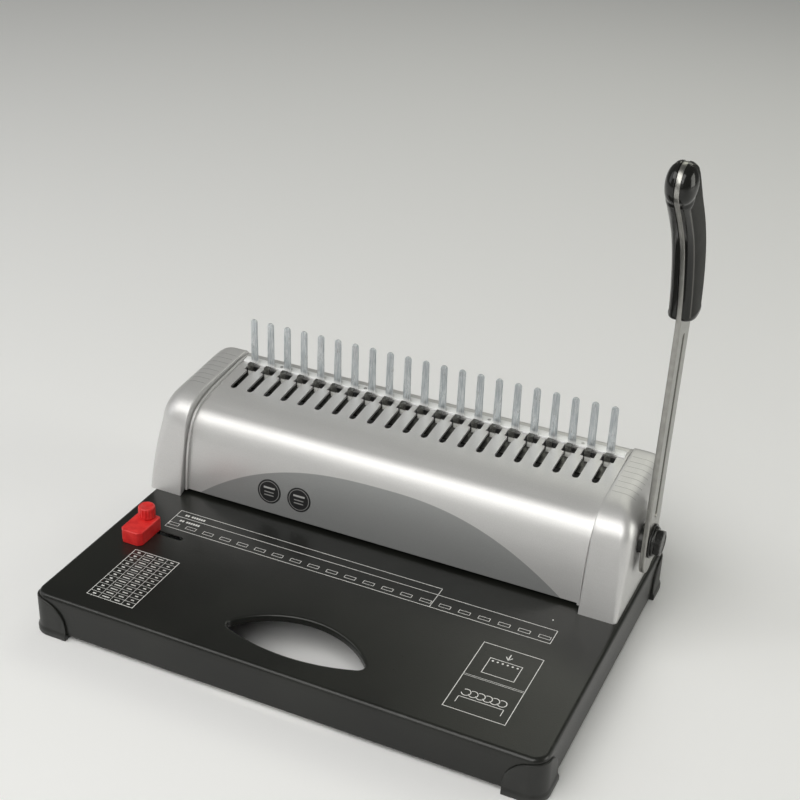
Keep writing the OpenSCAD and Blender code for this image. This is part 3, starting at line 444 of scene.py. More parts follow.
# second tones of the plated parts, all painted shade: darker in the rake's slots, on the tines and in the
# lever's groove; heights over the cover's slope, depths below the lever's outer face
paintedShadeLook = {"oil": (0.05, 0.05, 0.043), "tine": (0.42, 0.47, 0.50), "groove": (0.10, 0.098, 0.085),
             "slopeHeight": 93.85, "slopeRise": 0.098, "bandFoot": (-5.4, -4.4), "bandTop": (-0.2, -1.2),
             "tineFoot": (3, 6), "grooveY": 61.0, "grooveZ": 77.5, "grooveLean": 0.0559, "grooveX": 183.15,
             "grooveSide": (3.1, 2.6), "grooveMouth": (0.05, 0.5), "grooveBed": (2.3, 2.0)}


def overSlope(y, z):
    return z - y * paintedShadeLook["slopeRise"] - paintedShadeLook["slopeHeight"]


def rakePaintedShade(x, y, z):  # 1 on the hooks and deep in the slots, painted dark as shade; 0 on a band under the slots, left bright as painted light
    lift = overSlope(y, z)
    return 1 - lift.rise(*paintedShadeLook["bandFoot"]) * lift.rise(*paintedShadeLook["bandTop"])


def tinePaintedShade(x, y, z):  # 1 on the tines, painted darker as shade; 0 on their flange, left light and less metallic as painted light
    return overSlope(y, z).rise(*paintedShadeLook["tineFoot"])


def groovePaintedShade(x, y, z):  # 1 within the lever's groove, painted dark as shade in the recess
    k = paintedShadeLook
    off = abs(y - k["grooveY"] - (z - k["grooveZ"]) * k["grooveLean"])
    deep = k["grooveX"] - x
    return off.rise(*k["grooveSide"]) * deep.rise(*k["grooveMouth"]) * deep.rise(*k["grooveBed"])


plateLook = {"drawn": (2.0, 4.0, 0.6), "drawnEdge": (0.3, 0.7), "cloud": (0.12, 4.0), "patchShare": 0.5,
             "cloudShare": 0.6, "tintFrom": 0.1, "drawnRough": 0.16, "cloudRough": 0.10, "patchBump": 0.4,
             "depth": 0.012}


def platedSteel(name, colour, tint, rough, metal=1.0, streak=(1, 1, 1), spangle=0.5, shade=None, bare=None):
    k = plateLook
    f = Finish(name, metallic=metal)
    at = f.spot()
    drawn = f.noise(f.spot(streak), *k["drawn"])  # drawing or brushing marks
    patch, cloud = f.cells(at, spangle), f.noise(at, *k["cloud"])
    tinted = (patch * k["patchShare"] + cloud * k["cloudShare"] - k["tintFrom"]).rise(0, 1)
    plate = tinted.blend(colour, tint)
    if shade:  # painted shade: a darker second tone where the mask is 1, at its least strength or more
        mask, tone, least = shade
        over = mask(*f.axes(at))
        strength = least + (1 - least) * drawn.rise(*k["drawnEdge"])
        plate = (over * strength).blend(plate, paintedShadeLook[tone])
        if bare is not None:  # less metallic where the mask is 0, so those parts read lighter as painted light
            f.set(metallic=bare + (metal - bare) * over)
    f.set(baseColor=plate,
          roughness=rough + k["drawnRough"] * (drawn - 0.5) + k["cloudRough"] * (cloud - 0.5))
    f.bump(drawn + patch * k["patchBump"], k["depth"])
    return f


gripLook = {"from": 164.0, "foot": 14.0, "belly": 15.0, "neck": 12.2, "knob": 13.2, "deep": 8.0,
            "bellyAt": 0.28, "neckAt": 0.78, "footRound": 4.0, "power": 2.6,
            "crease": 279.0, "creaseDeep": 0.06, "creaseWide": 1.4, "bulbFrom": 275.0, "bulbLong": 14.0,
            "panelFrom": 168.0, "panelTo": 272.0, "panelTilt": 24.0, "panelWide": 0.83, "panelDeep": 0.35,
            "panelRise": 2, "panelFall": 1.5, "panelSide": 0.04, "bodyFlat": 0.08, "closeBend": (0.5, 0.4),
            "footTurn": 12, "tipTurn": 84}
# the line tone is a painted highlight along the edges of the flank panels
gripSkin = {"shine": 0.32, "gloss": (0.0065, 0.0065, 0.0058), "glossLift": 2.4,
            "matte": (0.0105, 0.0105, 0.0088), "matteLift": 1.5, "line": (0.16, 0.155, 0.14),
            "lineWide": 0.03, "lineEdge": (0.03, 0.01), "highlightShare": 0.5, "panelEnd": -1.2,
            "grain": (1.8, 3.0), "grainEdge": (0.3, 0.75), "smear": (0.09, 4.0), "smearShare": 0.5,
            "rough": 0.09, "smearRough": 0.12, "panelRough": 0.41, "grainRough": 0.15, "lineRough": 0.15,
            "coat": 0.2, "depth": 0.04}


def gripEnd(across):  # the flank panels climb behind the knob
    return gripLook["panelTo"] + gripLook["panelTilt"] * (across + 1) / 2


def gripBlack(k, shape):
    f = Finish("gripBlack")
    f.shader.inputs["Specular IOR Level"].default_value = k["shine"]
    at = f.spot()
    run, across = f.mark("along"), f.mark("across")
    start, wide = shape["panelFrom"], shape["panelWide"]
    within = run.rise(start, start + shape["panelRise"])
    within = within * (1 - (run - gripEnd(across)).rise(k["panelEnd"], 0))
    panel = (wide - abs(across)).rise(0, k["lineWide"]) * within
    # painted highlight: a lighter line along each panel's edge
    line = abs(abs(across) - wide - k["lineWide"]).rise(*k["lineEdge"]) * within
    grain, smear = f.noise(at, *k["grain"]), f.noise(at, *k["smear"])
    gloss = (smear * k["smearShare"]).blend(k["gloss"], scaled(k["gloss"], k["glossLift"]))
    soft = grain.rise(*k["grainEdge"]).blend(k["matte"], scaled(k["matte"], k["matteLift"]))
    matte = panel * (k["panelRough"] + k["grainRough"] * grain)
    f.set(baseColor=(line * k["highlightShare"]).blend(panel.blend(gloss, soft), k["line"]),
          roughness=k["rough"] + k["smearRough"] * smear + matte + k["lineRough"] * line,
          coatWeight=k["coat"] - k["coat"] * panel)
    f.bump(grain * panel, k["depth"])
    return f


oxideLook = {"metal": 0.55, "dark": (0.034, 0.034, 0.033), "lighter": 2.4, "cloud": (0.5, 4.0),
             "cloudEdge": (0.55, 0.8), "rough": 0.30, "cloudRough": 0.2, "grain": (2.5, 3.0), "depth": 0.02}


def darkOxide(k):
    f = Finish("blackScrew", metallic=k["metal"])
    at = f.spot()
    cloud = f.noise(at, *k["cloud"])
    f.set(baseColor=cloud.rise(*k["cloudEdge"]).blend(k["dark"], scaled(k["dark"], k["lighter"])),
          roughness=k["rough"] + k["cloudRough"] * (cloud - 0.5))
    f.bump(f.noise(at, *k["grain"]), k["depth"])
    return f


redLook = {"deep": (0.66, 0.018, 0.019), "light": (0.80, 0.042, 0.038), "under": 0.12,
           "spread": (0.004, 0.0008, 0.0006), "cloud": (0.16, 3.0), "cloudEdge": (0.3, 0.7),
           "grain": (2.4, 2.0), "rough": 0.36, "grainRough": 0.14, "cloudRough": 0.08, "depth": 0.03}


def redPlastic(k):
    f = Finish("redPlastic", subsurfaceWeight=k["under"])
    f.shader.inputs["Subsurface Radius"].default_value = k["spread"]
    at = f.spot()
    cloud, grain = f.noise(at, *k["cloud"]), f.noise(at, *k["grain"])
    f.set(baseColor=cloud.rise(*k["cloudEdge"]).blend(k["deep"], k["light"]),
          roughness=k["rough"] + k["grainRough"] * (grain - 0.5) + k["cloudRough"] * cloud)
    f.bump(grain, k["depth"])
    return f


inkLook = {"thin": (1.6, 3.0), "edge": (0.25, 0.6), "rough": 0.5, "thinRough": 0.1}


def printInk(name, faint, full):
    k = inkLook
    f = Finish(name)
    thin = f.noise(f.spot(), *k["thin"])
    f.set(baseColor=thin.rise(*k["edge"]).blend(faint, full), roughness=k["rough"] + k["thinRough"] * thin)
    return f


# black round badge with three plain bars and a fine rim, drawn on the badge's own map
discLook = {"black": (0.012, 0.012, 0.013), "white": (0.55, 0.55, 0.54), "rim": 0.84,
            "rimEdge": (0.035, 0.015), "barHalf": (0.50, 0.47), "barAt": 0.30, "barEdge": (0.09, 0.06),
            "fineHalf": (0.42, 0.39), "fineBelow": 0.18, "fineApart": 0.13, "fineEdge": (0.05, 0.03),
            "rimShare": 0.6, "fineShare": 0.7, "grain": (1.5, 3.0), "rough": 0.38, "grainRough": 0.1}


def badgeInk(k):
    f = Finish("badgeInk")
    u, v = f.mark("across"), f.mark("upright")
    out = (u * u + v * v) ** 0.5
    rim = abs(out - k["rim"]).rise(*k["rimEdge"])
    bar = abs(u).rise(*k["barHalf"]) * abs(v - k["barAt"]).rise(*k["barEdge"])
    pair = abs(abs(v + k["fineBelow"]) - k["fineApart"]).rise(*k["fineEdge"])
    fine = abs(u).rise(*k["fineHalf"]) * pair
    grain = f.noise(f.spot(), *k["grain"])
    inked = (rim * k["rimShare"] + bar + fine * k["fineShare"]).atMost(1) * (0.5 + 0.5 * grain)
    f.set(baseColor=inked.blend(k["black"], k["white"]), roughness=k["rough"] + k["grainRough"] * grain)
    return f


finishes = {
    "base_paint": powderCoat(coatLook),
    "foot_plastic": mouldedPlastic("footPlastic", (0.013, 0.0135, 0.012), 0.38),
    "silver_plastic": silverPaint("capPaint"),
    # one zinc sheet: the tines are painted darker as shade, the flange is lighter and less metallic as
    # painted light
    "zinc_plate": platedSteel("zincPlate", (0.90, 0.91, 0.91), (0.96, 0.965, 0.965), 0.30, metal=0.6,
                              bare=0.12, streak=(1.2, 1.2, 0.05), spangle=0.35,
                              shade=(tinePaintedShade, "tine", 0.35)),
    "plain_steel": platedSteel("brightSteel", (0.50, 0.50, 0.50), (0.62, 0.62, 0.61), 0.30),
    "tool_steel": platedSteel("groundSteel", (0.34, 0.345, 0.35), (0.45, 0.45, 0.45), 0.34,
                              streak=(0.05, 1, 1)),
    "bush_bronze": platedSteel("bushBronze", (0.50, 0.31, 0.13), (0.60, 0.40, 0.20), 0.36),
    "dark_fastener": darkOxide(oxideLook),
    # the lever's groove is painted dark as shade
    "lever_steel": platedSteel("leverNickel", (0.31, 0.307, 0.288), (0.42, 0.415, 0.395), 0.32,
                               streak=(1, 1, 0.03), spangle=0.2, shade=(groovePaintedShade, "groove", 0.8)),
    "grip_plastic": gripBlack(gripSkin, gripLook),
    "stop_plastic": redPlastic(redLook),
    "tray_plastic": mouldedPlastic("trayPlastic", (0.030, 0.031, 0.033), 0.44),
}
coverPaint = silverPaint("coverPaint", arch=True)
# the rake is painted dark as shade in its slots; a less metallic band stays bright as painted light
rakeZinc = platedSteel("rakeZinc", (0.74, 0.74, 0.71), (0.88, 0.88, 0.85), 0.32, metal=0.6, bare=0.05,
                       spangle=0.4, shade=(rakePaintedShade, "oil", 0.8))
inkWhite = printInk("whiteInk", (0.58, 0.58, 0.56), (0.86, 0.86, 0.84))
inkGrey = printInk("tickInk", (0.22, 0.22, 0.21), (0.34, 0.34, 0.33))
inkBadge = badgeInk(discLook)
print("finishes mixed:", len(finishes) + 5)

for entry in frame["record"]["subparts"]:
    solid = nodes[entry["node"]]
    solid.data.materials.clear()
    solid.data.materials.append(finishes[entry["material_slot"]].material)


# floor and light
studio = {
    "floor": (0.95, 0.95, 0.95), "floorRough": 0.9, "reach": 9,
    "air": (0.88, 0.89, 0.85), "airPower": 0.18,
    "lamps": {  # place, aim, size, power and tint
        "keyPanel": ((-0.4, -1.15, 1.85), (0.0, 0.02, 0.05), (2.3, 1.25), 27.5, (1.0, 0.99, 0.96)),
        "frontPanel": ((-0.2, -2.3, 0.7), (0.0, 0.0, 0.05), (1.6, 0.9), 1.6, (1.0, 0.995, 0.95)),
        "lowPanel": ((0.05, -1.6, 1.15), (0.05, 0.02, 0.08), (1.0, 0.5), 4.8, (1.0, 0.995, 0.97)),
        "leftPanel": ((-1.8, -0.6, 1.1), (0.0, 0.0, 0.1), (1.2, 1.6), 6.5, (0.98, 0.985, 1.0)),
        "rightPanel": ((1.5, 0.4, 0.5), (0.15, 0.0, 0.03), (0.7, 0.9), 5.8, (1.0, 0.995, 0.93)),
        "rearPanel": ((0.12, 1.5, 1.4), (0.0, 0.05, 0.1), (1.2, 0.6), 3.7, (0.99, 1.0, 0.88)),
    },
}


def layStage(s):
    side = np.linspace(-s["reach"], s["reach"], 13)  # flat square of even grid squares
    x, y = np.meshgrid(side, side)
    shell = Shell()
    shell.grid(np.stack([x, y, 0 * x], -1) / mm)
    floor = addObject("paleFloor", shell.mesh("paleFloor"))
    look = Finish("paleFloor", roughness=s["floorRough"], baseColor=s["floor"])
    floor.data.materials.append(look.material)
    world = bpy.data.worlds.new("studioAir")
    bpy.context.scene.world = world
    world.use_nodes = True
    air = world.node_tree.nodes["Background"].inputs
    air["Color"].default_value, air["Strength"].default_value = (*s["air"], 1), s["airPower"]
    for name, (spot, aim, size, power, tint) in s["lamps"].items():
        lamp = bpy.data.lights.new(name, "AREA")
        lamp.shape, lamp.size, lamp.size_y = "RECTANGLE", *size
        lamp.energy, lamp.color = power, tint
        held = addObject(name, lamp)
        held.location = spot
        held.rotation_euler = (Vector(aim) - Vector(spot)).to_track_quat("-Z", "Y").to_euler()
    bpy.context.scene.view_settings.view_transform = "Standard"


layStage(studio)
print("stage lit")


# top cover: one line carried along the head, its sloped top filled round the T slots
coverLook = {"half": 156.5, "front": (7.5, 3.0), "lift": (10.5, 44.0), "turn": (17.0, 60.0),
             "shoulder": (32.0, 64.3), "ease": (8.0, 3.2), "flat": (56.0, 69.3), "slope": 5.6, "lead": 1.0,
             "edge": 4.0, "rear": 106.5, "wall": 2.0}
slotLook = {"count": 21, "pitch": 14.2875, "wide": 5.0, "headWide": 10.0, "front": -0.5,
            "headFrom": 26.1, "headTo": 34.5, "corner": 0.7}
slopeTan, slopeSin, slopeCos = (g(math.radians(coverLook["slope"])) for g in (math.tan, math.sin, math.cos))
slotPlaces = (np.arange(slotLook["count"]) - (slotLook["count"] - 1) / 2) * slotLook["pitch"]


def topHeight(d):
    return coverLook["flat"][1] + (d - coverLook["flat"][0]) * slopeTan


def onSlope(u, y, n=0.0):  # u along the head, y up the sloped top, n above it
    d0, h0 = coverLook["flat"]
    return headPoint(u, d0 + y * slopeCos - n * slopeSin, h0 + y * slopeSin + n * slopeCos)


def coverLine(k):  # two curves up the front, the straight slope, a small rear arc and the drop
    bend, rear = k["edge"], k["rear"] - k["edge"]
    end, lead = k["flat"], k["lead"]
    rise = bezier(k["front"], k["lift"], k["turn"], k["shoulder"], 16)
    before = end[0] - k["ease"][0]
    crown = bezier(k["shoulder"], np.add(k["shoulder"], k["ease"]), (before, topHeight(before)), end, 14)
    crown = crown[1:-1]
    edge = (end[0] - lead * slopeCos, end[1] - lead * slopeSin)
    turn = arc((rear, topHeight(rear) - bend / slopeCos), bend, 90 + k["slope"], 0, 6)
    return rise, crown, edge, turn, (k["rear"], 0.0)


coverRise, coverCrown, coverEdge, coverTurn, coverFoot = coverLine(coverLook)
coverFront = np.vstack([coverRise, coverCrown, coverEdge])
coverBack = np.vstack([coverTurn, onward(coverTurn[-1], coverFoot, 4)])
coverPath = np.vstack([coverFront, onward(coverEdge, coverTurn[0], 8)[:-1], coverBack])


def slotLoop(k, u):  # T-shaped hole: a narrow slot with a round front and a wide head at the rear
    narrow, wide, r = k["wide"] / 2, k["headWide"] / 2, k["corner"]
    front = arc((u, k["front"] + narrow), narrow, 180, 360, 8)
    head = [arc((u + narrow + r, k["headFrom"] - r), r, 180, 90, 3),
            arc((u + wide - r, k["headFrom"] + r), r, -90, 0, 3),
            arc((u + wide - r, k["headTo"] - r), r, 0, 90, 3)]
    right = np.vstack([front[-1:], *head])
    left = right[::-1] * (-1, 1) + (2 * u, 0)
    return np.vstack([front[1:-1], right, left])


def makeCover(k):
    shell = Shell()
    u = np.linspace(-k["half"], k["half"], 9)
    for line in (coverFront, coverBack):
        shell.grid(headPoint(u[None, :], line[:, :1], line[:, 1:]), flip=True)
    end = (coverTurn[0, 0] - k["flat"][0]) / slopeCos
    outline = np.vstack([np.stack([u, 0 * u - k["lead"]], 1), np.stack([u[::-1], 0 * u + end], 1)])
    shell.plate(outline, [slotLoop(slotLook, s) for s in slotPlaces], onSlope)
    shell.piece("topCover", "machine", "silver_plastic", ["top_cover"], coverPaint, wall=k["wall"],
                edge=0.35)


makeCover(coverLook)
print("cover pressed")

# end caps: one line carried across, its side rounded in, with a lip that laps the cover
capLook = {"from": 156.5, "to": 183.5, "inner": 0.8, "lipTo": 153.8, "lip": 2.2, "wall": 1.8,
           "front": (11.0, 53.5), "frontBend": 12.5, "shoulder": (42.0, 74.0), "shoulderBend": 18.0,
           "high": 77.2, "rear": 106.5, "rearRound": 8.0, "rearSide": 16.0, "footRound": 3.0,
           "topRound": 17.0, "bendRound": {-1: 17.0, 1: 8.0}, "spare": 0.6, "flatFrom": 3.0, "tuck": 0.5,
           "seam": (1.1, 0.1), "lipFade": (104.0, 14.0, 0.1), "shaft": (41.0, 45.5), "shaftHole": 10.4}


def capLine(k, r):  # a leaning front, a curve over the shoulder, a straight top, a rear arc and the drop
    front, crest = np.array(k["front"]), np.array(k["shoulder"])
    top = np.array((k["rear"] - r, k["high"])) - crest
    split = crest + top * (coverEdge[0] - crest[0]) / top[0]
    lift, ease = front * (1 + k["frontBend"] / front[1]), crest - top * k["shoulderBend"] / top[0]
    rise = np.vstack([np.linspace((0, 0), front, 40)[:-1], bezier(front, lift, ease, crest, 60),
                      onward(crest, split, 10)])
    share = along(coverFront) / along(coverFront)[-1] * along(rise)[-1]  # paced like the cover's front
    rise = np.stack([np.interp(share, along(rise), rise[:, c]) for c in (0, 1)], 1)
    turn = arc(crest + top - (0, r), r, 90, 0, 6)
    return np.vstack([rise, onward(split, turn[0], 8)[:-1], turn, onward(turn[-1], (k["rear"], 0), 4)])


def sideRound(line, k, bend):  # rounding of the side: small at the foot, large over the top
    d, h = line.T
    (start, high), crest, top = k["front"], k["shoulder"][0], k["topRound"]
    front = k["footRound"] + (bend - k["footRound"]) * np.clip(h / high, 0, 1) ** 2
    front += (top - bend) * smooth((d - start) / (crest - start))
    reach = k["rear"] - k["rearSide"] - crest
    rear = top + (k["rearSide"] - k["spare"] - top) * smooth((d - crest) / reach)
    return np.where(d < crest, front, rear)


capPath, capSide = (capLine(capLook, capLook[r]) for r in ("rearRound", "rearSide"))
capOut = outward(capPath)
capRound = {side: sideRound(capPath, capLook, bend) for side, bend in capLook["bendRound"].items()}


def capSkin(a, side, more=0.0):  # the rounded side at angle a: places along the head and the outline there
    share = 1 - math.cos(a)
    path = capPath + (capSide - capPath) * share
    u = capLook["to"] - capRound[side] * (1 - math.sin(a))
    return u, path - outward(path) * (capRound[side] * share + more)[:, None]


def makeCap(name, node, side, hole):
    k = capLook
    end, fade, least = k["lipFade"]  # the lip runs out towards the rear
    wide, left = k["seam"]  # a narrow seam between the lip and the cap
    proud = outward(coverPath) * k["lip"] * (least + (1 - least) * smooth((end - coverPath[:, :1]) / fade))
    lip, bed = coverPath + proud, coverPath + proud * left
    start, inner = k["from"], k["inner"]
    rows = [(k["lipTo"], coverPath), (k["lipTo"], lip), (start - wide, lip), (start - wide, bed),
            (start, bed)]
    rows += [(start + inner * (1 - math.cos(t)), capPath - capOut * inner * (1 - math.sin(t)))
             for t in quarter(4)]
    rows += [(start + k["flatFrom"], capPath), (k["to"] - capRound[side] - k["spare"], capPath)]
    rows += [capSkin(t, side) for t in quarter(13)]
    flat = capSkin(math.pi / 2, side, k["tuck"])[1]
    rows += [(k["to"], flat)]
    shell = Shell()
    shell.grid(np.stack([headPath(side * u, line) for u, line in rows]))
    holes = [ring(*k["shaft"], k["shaftHole"])] if hole else []
    shell.fill(flat[::-1], holes, lambda x, y: headPoint(side * k["to"], x, y))
    shell.piece(name, "machine", "silver_plastic", [node], wall=k["wall"], edge=0.3)


makeCap("leftEndCap", "left_end_cap", -1, False)
makeCap("rightEndCap", "right_end_cap", 1, True)
print("end caps moulded")

# base tray: a rounded wall folded into the top plate, with the hand hole rolled down
baseLook = {"half": (183.0, 127.0), "corner": 10.0, "fold": 3.0, "foot": 4.0, "top": 32.0, "sheet": 1.2,
            "openLeft": -154.75, "openRight": 147.25, "openTop": 25.3,
            "holeRear": 64.0, "holeFront": 133.0, "holeFrom": -108.5, "holeDeep": 39.0, "holeEnd": 5.0,
            "holeRoll": 1.6, "holeFoot": 27.0,
            "stopSlot": (-161.0, -130.0, -28.2, 2.15), "window": (-163.45, 45.8, 155.95, 78.2),
            "screws": ((169.3, 34), (169.3, 76), (168.4, 11), (168.4, 97), (100.2, 98.5), (0, 98.5)),
            "screwHole": 2.05}


def handHoleLoop(k):  # lens between two arcs, its ends rounded by a circle that touches both
    big, flat, e = k["holeRear"], k["holeFront"], k["holeEnd"]
    low, high = k["holeFrom"] + flat, k["holeFrom"] + k["holeDeep"] - big
    # the end circle's middle is at big - e from one arc's middle and flat - e from the other's
    y = ((big - e) ** 2 - (flat - e) ** 2 + low ** 2 - high ** 2) / (2 * (low - high))
    x = math.sqrt((big - e) ** 2 - (y - high) ** 2)
    fromLow, fromHigh = math.degrees(math.atan2(y - low, x)), math.degrees(math.atan2(y - high, x))
    front = arc((0, low), flat, -180 - fromLow, fromLow, 32)
    right = arc((x, y), e, fromLow, fromHigh, 8)[1:]
    rear = arc((0, high), big, fromHigh, 180 - fromHigh, 40)[1:]
    left = (right[::-1] * (-1, 1))[1:-1]
    return np.vstack([front, right, rear, left])


def makeBase(k):
    (wide, deep), n = k["half"], 10
    corners = np.roll(roundedLoop(oblong(-wide, -deep, wide, deep), k["corner"], n), n + 1, 0)
    path = np.vstack([[(k["openLeft"], deep)], corners, [(k["openRight"], deep)]])
    shell = Shell()
    low = np.stack([path, path])  # wall below the rear opening's top, then the whole ring above it
    shell.grid(basePath(low, np.array([k["foot"], k["openTop"]])[:, None]))
    a = quarter(6)
    inset = np.concatenate([[0], k["fold"] * (1 - np.cos(a))])
    rise = np.concatenate([[k["openTop"]], k["top"] - k["fold"] * (1 - np.sin(a))])
    rings = np.stack([grow(path, -i) for i in inset])
    shell.grid(basePath(rings, rise[:, None]), roundCols=True)
    hole, roll = handHoleLoop(k), k["holeRoll"]
    x0, x1, y, r = k["stopSlot"]
    slot = np.vstack([arc((x1, y), r, -90, 90, 8), arc((x0, y), r, 90, 270, 8)])
    holes = [grow(hole, roll), slot, oblong(*k["window"])]
    holes += [ring(s * u + place["headX"] - place["baseX"], d + place["headY"], k["screwHole"], 20)
              for u, d in k["screws"] for s in ((1, -1) if u else (1,))]
    shell.plate(rings[-1], holes, lambda x, y: basePoint(x, y, k["top"]))
    down = np.stack([grow(hole, roll * (1 - math.sin(t))) for t in a] + [hole])
    fall = np.concatenate([k["top"] - roll * (1 - np.cos(a)), [k["holeFoot"]]])
    shell.grid(basePath(down, fall[:, None]), roundCols=True)
    shell.piece("baseTray", "machine", "base_paint", ["base_tray"], wall=k["sheet"], edge=0.25)


makeBase(baseLook)
print("base folded")

# corner feet: a lipped profile carried round each corner, its top falling along both legs
footLook = {"corner": 10.0, "leg": 25.0, "high": 29.0, "low": 9.0, "level": 5.6, "reach": 22.0,
            "shell": 1.5, "flare": 2.6, "floor": 3.95, "inward": 1.2, "gap": 0.03, "ease": 0.6,
            "padShort": 0.1, "padOver": 1.0, "padFront": 0.9, "wallFoot": ((0.35, 5.3), (0, 6.4)),
            "lip": ((-0.9, 0), (-0.25, 0.25), (0, 0.9), (0, 3.6), (-0.15, 4.3)),
            "rim": ((0, -1.0), (-0.25, -0.3), (-0.8, 0.0))}


def makeFoot(name, node, sx, sy):
    k = footLook
    n, r, e = 16, k["corner"], k["ease"]
    legs = np.linspace(k["leg"], r, n)
    turn = arc((0, 0), 1, -90, 0, 12)[1:-1]
    spots = np.vstack([np.stack([-legs, 0 * legs], 1), r * turn + (-r, r),
                       np.stack([0 * legs, legs[::-1]], 1)])
    facing = np.vstack([np.tile((0, -1), (n, 1)), turn, np.tile((1, 0), (n, 1))])
    away = np.max(np.abs(spots), 1) + k["flare"]
    fall = np.clip((away - k["level"]) / k["reach"], 0, 1)
    top = k["low"] + (k["high"] - k["low"]) * np.sqrt(np.maximum(0, 1 - fall ** 2))
    f, s, g, floor, inward = (k[key] for key in ("flare", "shell", "gap", "floor", "inward"))
    # the lip from the inside round to the wall, then the rim that follows the falling top
    lip = [(g, floor), (-inward, floor), (-inward, e), (e - inward, 0), *steps(f, 0, k["lip"]),
           *steps(s, 0, k["wallFoot"])]
    rim = [*steps(s, 0, k["rim"]), (g, 0)]
    section = np.tile(np.array(lip + rim), (len(top), 1, 1))
    section[:, len(lip):, 1] += top[:, None]
    hx, hy = baseLook["half"]

    def corner(at, z):  # from the front right corner to this one
        return basePoint(sx * (hx + at[..., 0]), sy * (hy - at[..., 1]), z)

    shell = Shell()
    shell.tube(corner(spots[:, None] + facing[:, None] * section[..., :1], section[..., 1]))
    side, over = k["leg"] - k["padShort"], k["padOver"]  # the square pad under the base's corner
    pad = np.vstack([(-side, k["padFront"]), (-side, -over), arc((-r, r), r + over, -90, 0, 8),
                     (over, side), (-side, side)])
    rows = np.stack([grow(pad, -i) for i in (e, 0, 0)])
    shell.tube(corner(rows, np.array((0, e, floor))[:, None]))
    shell.piece(name, "machine", "foot_plastic", [node], edge=0.4)


for sx, sideName in ((-1, "Left"), (1, "Right")):
    for sy, endName in ((-1, "front"), (1, "rear")):
        makeFoot(endName + sideName + "Foot", "foot_%s_%s" % (endName, sideName.lower()), sx, sy)
print("feet fitted")

# comb: a flange on the slope and tines bent up from its front edge
combLook = {"half": 153.3, "from": 34.6, "to": 41.6, "thick": 1.6, "round": 0.35, "tine": 39.0, "foot": 5.9,
            "tip": 5.1, "tineRound": 0.4, "bend": 1.7, "back": 0.2, "root": 3.5, "tineFrom": 0.4,
            "tipLong": 2.2, "tipTurn": (18, 36, 54, 70, 82, 88)}


def roundedSection(w, t, r, n=3):  # closed rounded rectangle round the origin
    return roundedLoop(oblong(-w / 2, -t / 2, w / 2, t / 2), r, n)


def makeComb(k):
    shell = Shell()
    t, bend, back, long = (k[key] for key in ("thick", "bend", "back", "tipLong"))
    section = roundedSection(k["to"] - k["from"], t, k["round"]) + ((k["from"] + k["to"]) / 2, t / 2)
    u = np.array([-k["half"], k["half"]])[:, None]
    shell.tube(onSlope(u, section[None, :, 0], section[None, :, 1]))
    front = coverLook["flat"][0] + k["from"] * slopeCos + back - t / 2
    tip = topHeight(front + t / 2 - back) + k["tine"]
    middle = np.array((front + bend, topHeight(front + bend) + (t / 2 + bend) / slopeCos))
    swing = arc(middle, bend, -90 + coverLook["slope"], -180, 7)
    start, low = swing[0] + k["root"] * np.array((slopeCos, slopeSin)), swing[-1, 1]
    turn = np.radians(k["tipTurn"])  # the tip is half an oval
    straight = np.linspace(low + k["tineFrom"], tip - long, 6)
    high = np.concatenate([straight, tip - long + long * np.sin(turn)])
    path = np.vstack([[start], swing, np.stack([0 * high + front, high], 1)])
    facing = leftOf(unit(np.gradient(path, axis=0)))
    share = np.clip((path[:, 1] - low) / (tip - low), 0, 1)
    share[0] = 0
    wide = k["foot"] + (k["tip"] - k["foot"]) * share
    wide[-len(turn):] *= np.cos(turn)
    section = roundedSection(2, t, k["tineRound"])
    across = section[None, :, 0] / 2 * wide[:, None]
    at = path[:, None] + facing[:, None] * section[None, :, 1:]
    for s in slotPlaces:
        shell.tube(headPath(s + across, at))
    shell.piece("tineComb", "machine", "zinc_plate", ["comb_plate"])


makeComb(combLook)
print("comb bent")

# lever: a flat bar along a line that leans back and bends forward, with a pressed groove
leverLook = {"shaft": (41.0, 45.5), "inner": 187.2, "outer": 190.8, "half": 13.5, "tail": 24.0, "lean": 3.2,
             "straight": 152.0, "bend": 125.0, "turn": 43.0, "top": 36.0, "edge": 0.5, "sunk": 0.4,
             "rows": (0, 60, 120, 156), "tipTurn": 80,
             "grooveFrom": 18.0, "grooveTo": 152.0, "grooveHalf": 3.0, "grooveDeep": 1.5,
             "grooveWall": ((0, 0), (0.25, 0.06), (0.9, 0.75), (1.3, 0.95), (1.8, 1.0))}


def leverMiddle(s):  # place and heading of the lever's middle line at s from the shaft
    k = leverLook
    s = np.asarray(s, float)
    length = k["bend"] * math.radians(k["turn"])
    a = np.radians(k["lean"] - k["turn"] * np.clip((s - k["straight"]) / length, 0, 1))
    lean = math.radians(k["lean"])
    ahead, aside = np.stack([np.sin(a), np.cos(a)], -1), np.stack([np.cos(a), -np.sin(a)], -1)
    at = (np.array((math.sin(lean), math.cos(lean))) * np.minimum(s, k["straight"])[..., None]
          + k["bend"] * (aside - np.array((math.cos(lean), -math.sin(lean))))
          + ahead * np.maximum(0, s - k["straight"] - length)[..., None])
    return at + k["shaft"], ahead, aside


leverLong = leverLook["straight"] + leverLook["bend"] * math.radians(leverLook["turn"]) + leverLook["top"]
gripAt = {spot: gripLook["from"] + gripLook[spot + "At"] * (leverLong - gripLook["from"])
          for spot in ("belly", "neck")}


def gripHalf(s):  # foot, belly, neck and knob joined by smooth steps
    k, belly, neck = gripLook, gripAt["belly"], gripAt["neck"]
    return (k["foot"] + (k["belly"] - k["foot"]) * smooth((s - k["from"]) / (belly - k["from"]))
            + (k["neck"] - k["belly"]) * smooth((s - belly) / (neck - belly))
            + (k["knob"] - k["neck"]) * smooth((s - neck) / (leverLong - neck)))


